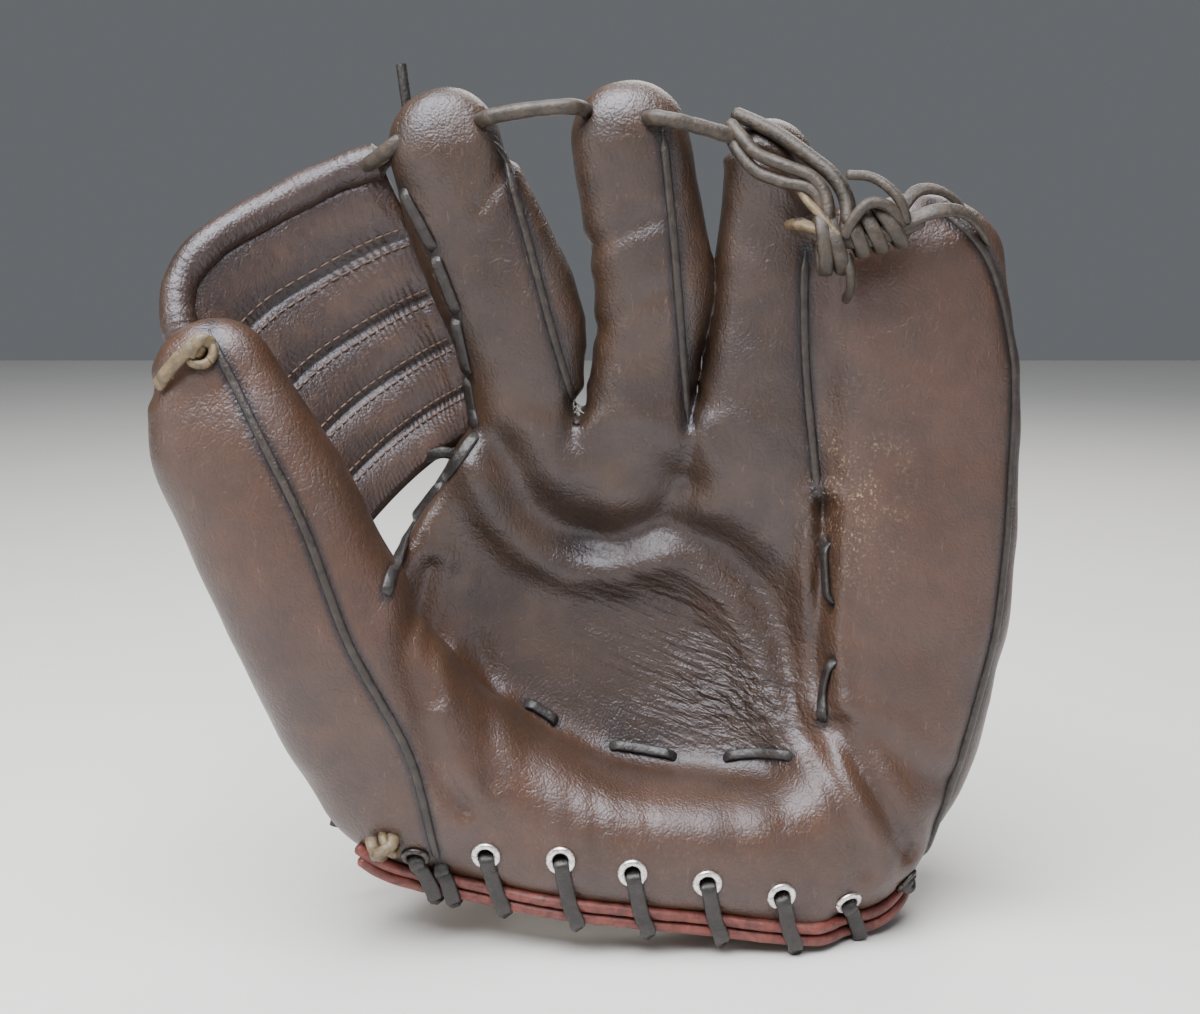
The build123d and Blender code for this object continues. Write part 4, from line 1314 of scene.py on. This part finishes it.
# ---- Opening in the back -----------------------------------------------------------------
def back_opening():
    """Rolled binding round the opening, and the stitches outside it."""
    x_from, x_to, _, z_to = BACK_HOLE
    z_from, corner, outside = 14.0, 7.0, 2.6
    rim = [(x_to + outside, z_from)]
    for cx, start in ((x_to - corner, 0), (x_from + corner, 1)):
        for a in np.linspace(0, np.pi / 2, 7) + start * np.pi / 2:
            reach = corner + outside
            rim.append((cx + reach * math.cos(a), z_to - corner + reach * math.sin(a)))
    rim.append((x_from - outside, z_from))
    place = np.array([on_back(x, z, 0.1) for x, _, z in along([(x, 0, z) for x, z in rim])])
    soften(place, 5)
    obj = Sweep().add(place, 2.0, 1.7, (0, 1, 0), 14, 2.4).make("back_opening_binding", BINDING)
    fit(obj, None, "hand")
    sweep = Sweep()
    for i in range(3, len(place) - 5, 3):
        part = place[i:i + 3]
        away = part - np.array([(x_from + x_to) / 2, 0, 50])
        away[:, 1] = 0
        part = part + 3.0 * away / np.linalg.norm(away, axis=1, keepdims=True)
        sweep.add([on_back(p[0], p[2], lift) for p, lift in zip(part, (0.0, 0.35, 0.0))], 0.36, 0.36, None, 6)
    fit(sweep.make("back_opening_stitching", THREAD), None, "hand")


back_opening()


# ---- Wrist strap -------------------------------------------------------------------------
def strap_point(u, v, out):
    """u along the strap from the snap end, v across it, out over the back leather."""
    x = STRAP_SPAN[0] + (STRAP_SPAN[1] - STRAP_SPAN[0]) * u
    middle, half = sum(STRAP_HEIGHT) / 2, (STRAP_HEIGHT[1] - STRAP_HEIGHT[0]) / 2
    from_round = (STRAP_SPAN[0] + half - x) / half
    squeeze = np.where(from_round > 0, np.sqrt(np.clip(1 - from_round ** 2, 0, 1)), 1)
    z = middle + v * half * np.maximum(squeeze, 0.02)
    cx, cy, a, b = oval_at(BLOCK, z)
    y = cy + (b + out) * np.sqrt(np.clip(1 - ((x - cx) / (a + out)) ** 2, 0, 1))
    return np.stack([x, y, z], -1)


def strap_layer(name, material, levels, puff, shrink):
    """Outer leather or lining of the strap."""
    u, v = np.meshgrid(np.sin(np.linspace(0, np.pi / 2, 110)) ** 2 * (1 - 0.4 * shrink) + shrink * 0.2,
                       np.linspace(-1 + shrink, 1 - shrink, 36), indexing="ij")
    soft = (1 - v ** 6) * np.clip(np.minimum(u, 1 - u) * 22, 0, 1) ** 0.5
    crumple = 0.18 * noise2(u * 30, v * 3, 51)
    over = levels[0] + (levels[1] - levels[0]) * (0.45 + 0.55 * soft) + (puff + crumple) * soft
    marks = {"bulge": 0.04, "red": 0.4, "scuff": 0.2, "seam": 0}
    obj = closed_sheet(name, strap_point(u, v, over), strap_point(u, v, levels[0] + 0 * soft), True, marks)
    obj.data.materials.append(material)
    return obj


def strap():
    """Leather, lining and two rows of stitches, all on the strap body."""
    obj = strap_layer("strap_leather", HIDE, STRAP_LEVELS, 0.25, 0.0)
    fit(obj, ["wrist_strap"], "strap")
    obj = strap_layer("strap_lining", LINING, (0.55, 1.3), 0.0, 0.1)
    fit(obj, ["wrist_strap_lining"], "strap")
    sweep = Sweep()
    rise = np.array([-0.1, 0.3, 0.3, -0.1])
    for v in (-0.84, 0.84):
        for u in np.arange(0.06, 0.985, 0.0262):
            line = strap_point(np.linspace(u, u + 0.017, 4), np.full(4, v), STRAP_LEVELS[1] + rise)
            sweep.add(line, 0.36, 0.36, None, 6)
    fit(sweep.make("strap_stitching", THREAD), None, "strap")


def snap():
    """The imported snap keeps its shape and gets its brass."""
    for name in ("snap_cap", "snap_stud"):
        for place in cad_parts[name].material_slots:
            place.material = BRASS


strap()
snap()


# ---- Studio ------------------------------------------------------------------------------
# Lamps: place, size, power, colour.
LAMPS = {"key": ((-0.22, -0.42, 1.05), 1.0, 50, (0.94, 0.965, 1.0)),
         "side": ((-0.95, -0.55, 0.35), 0.5, 3.0, (1.0, 0.96, 0.90)),
         "fill": ((0.9, -0.75, 0.40), 0.8, 2.0, (0.92, 0.95, 1.0)),
         "rim": ((0.25, 0.75, 0.90), 0.7, 8, (1.0, 0.98, 0.95))}


def studio():
    """Camera at the photograph's angle, pale floor and soft light."""
    bpy.ops.object.camera_add(location=(-0.0125, -0.5131, 0.2150))
    camera = bpy.context.object
    aim = Vector((-0.0125, 0.0, 0.1245)) - camera.location
    camera.rotation_euler = aim.to_track_quat("-Z", "Y").to_euler()
    camera.data.lens = 50
    camera.data.sensor_width = 36
    bpy.context.scene.camera = camera
    bpy.ops.mesh.primitive_plane_add(size=4, location=(0, 0, -0.004))
    floor = bpy.context.object
    floor.name = "floor"
    n = Nodes("pale_floor")
    colour = n.mix(n.noise(9, 3, 0.5), (0.62, 0.60, 0.57), (0.66, 0.645, 0.62))
    floor.data.materials.append(n.finish(colour, 0.62))
    world = bpy.data.worlds.new("soft_world")
    world.use_nodes = True
    world.node_tree.nodes["Background"].inputs[0].default_value = (0.80, 0.84, 0.90, 1)
    world.node_tree.nodes["Background"].inputs[1].default_value = 0.17
    bpy.context.scene.world = world
    for name, (place, size, power, tint) in LAMPS.items():
        bpy.ops.object.light_add(type="AREA", location=place)
        lamp = bpy.context.object
        lamp.name = name
        lamp.data.size = size
        lamp.data.energy = power
        lamp.data.color = tint
        lamp.rotation_euler = (Vector((0, 0, 0.12)) - Vector(place)).to_track_quat("-Z", "Y").to_euler()


studio()
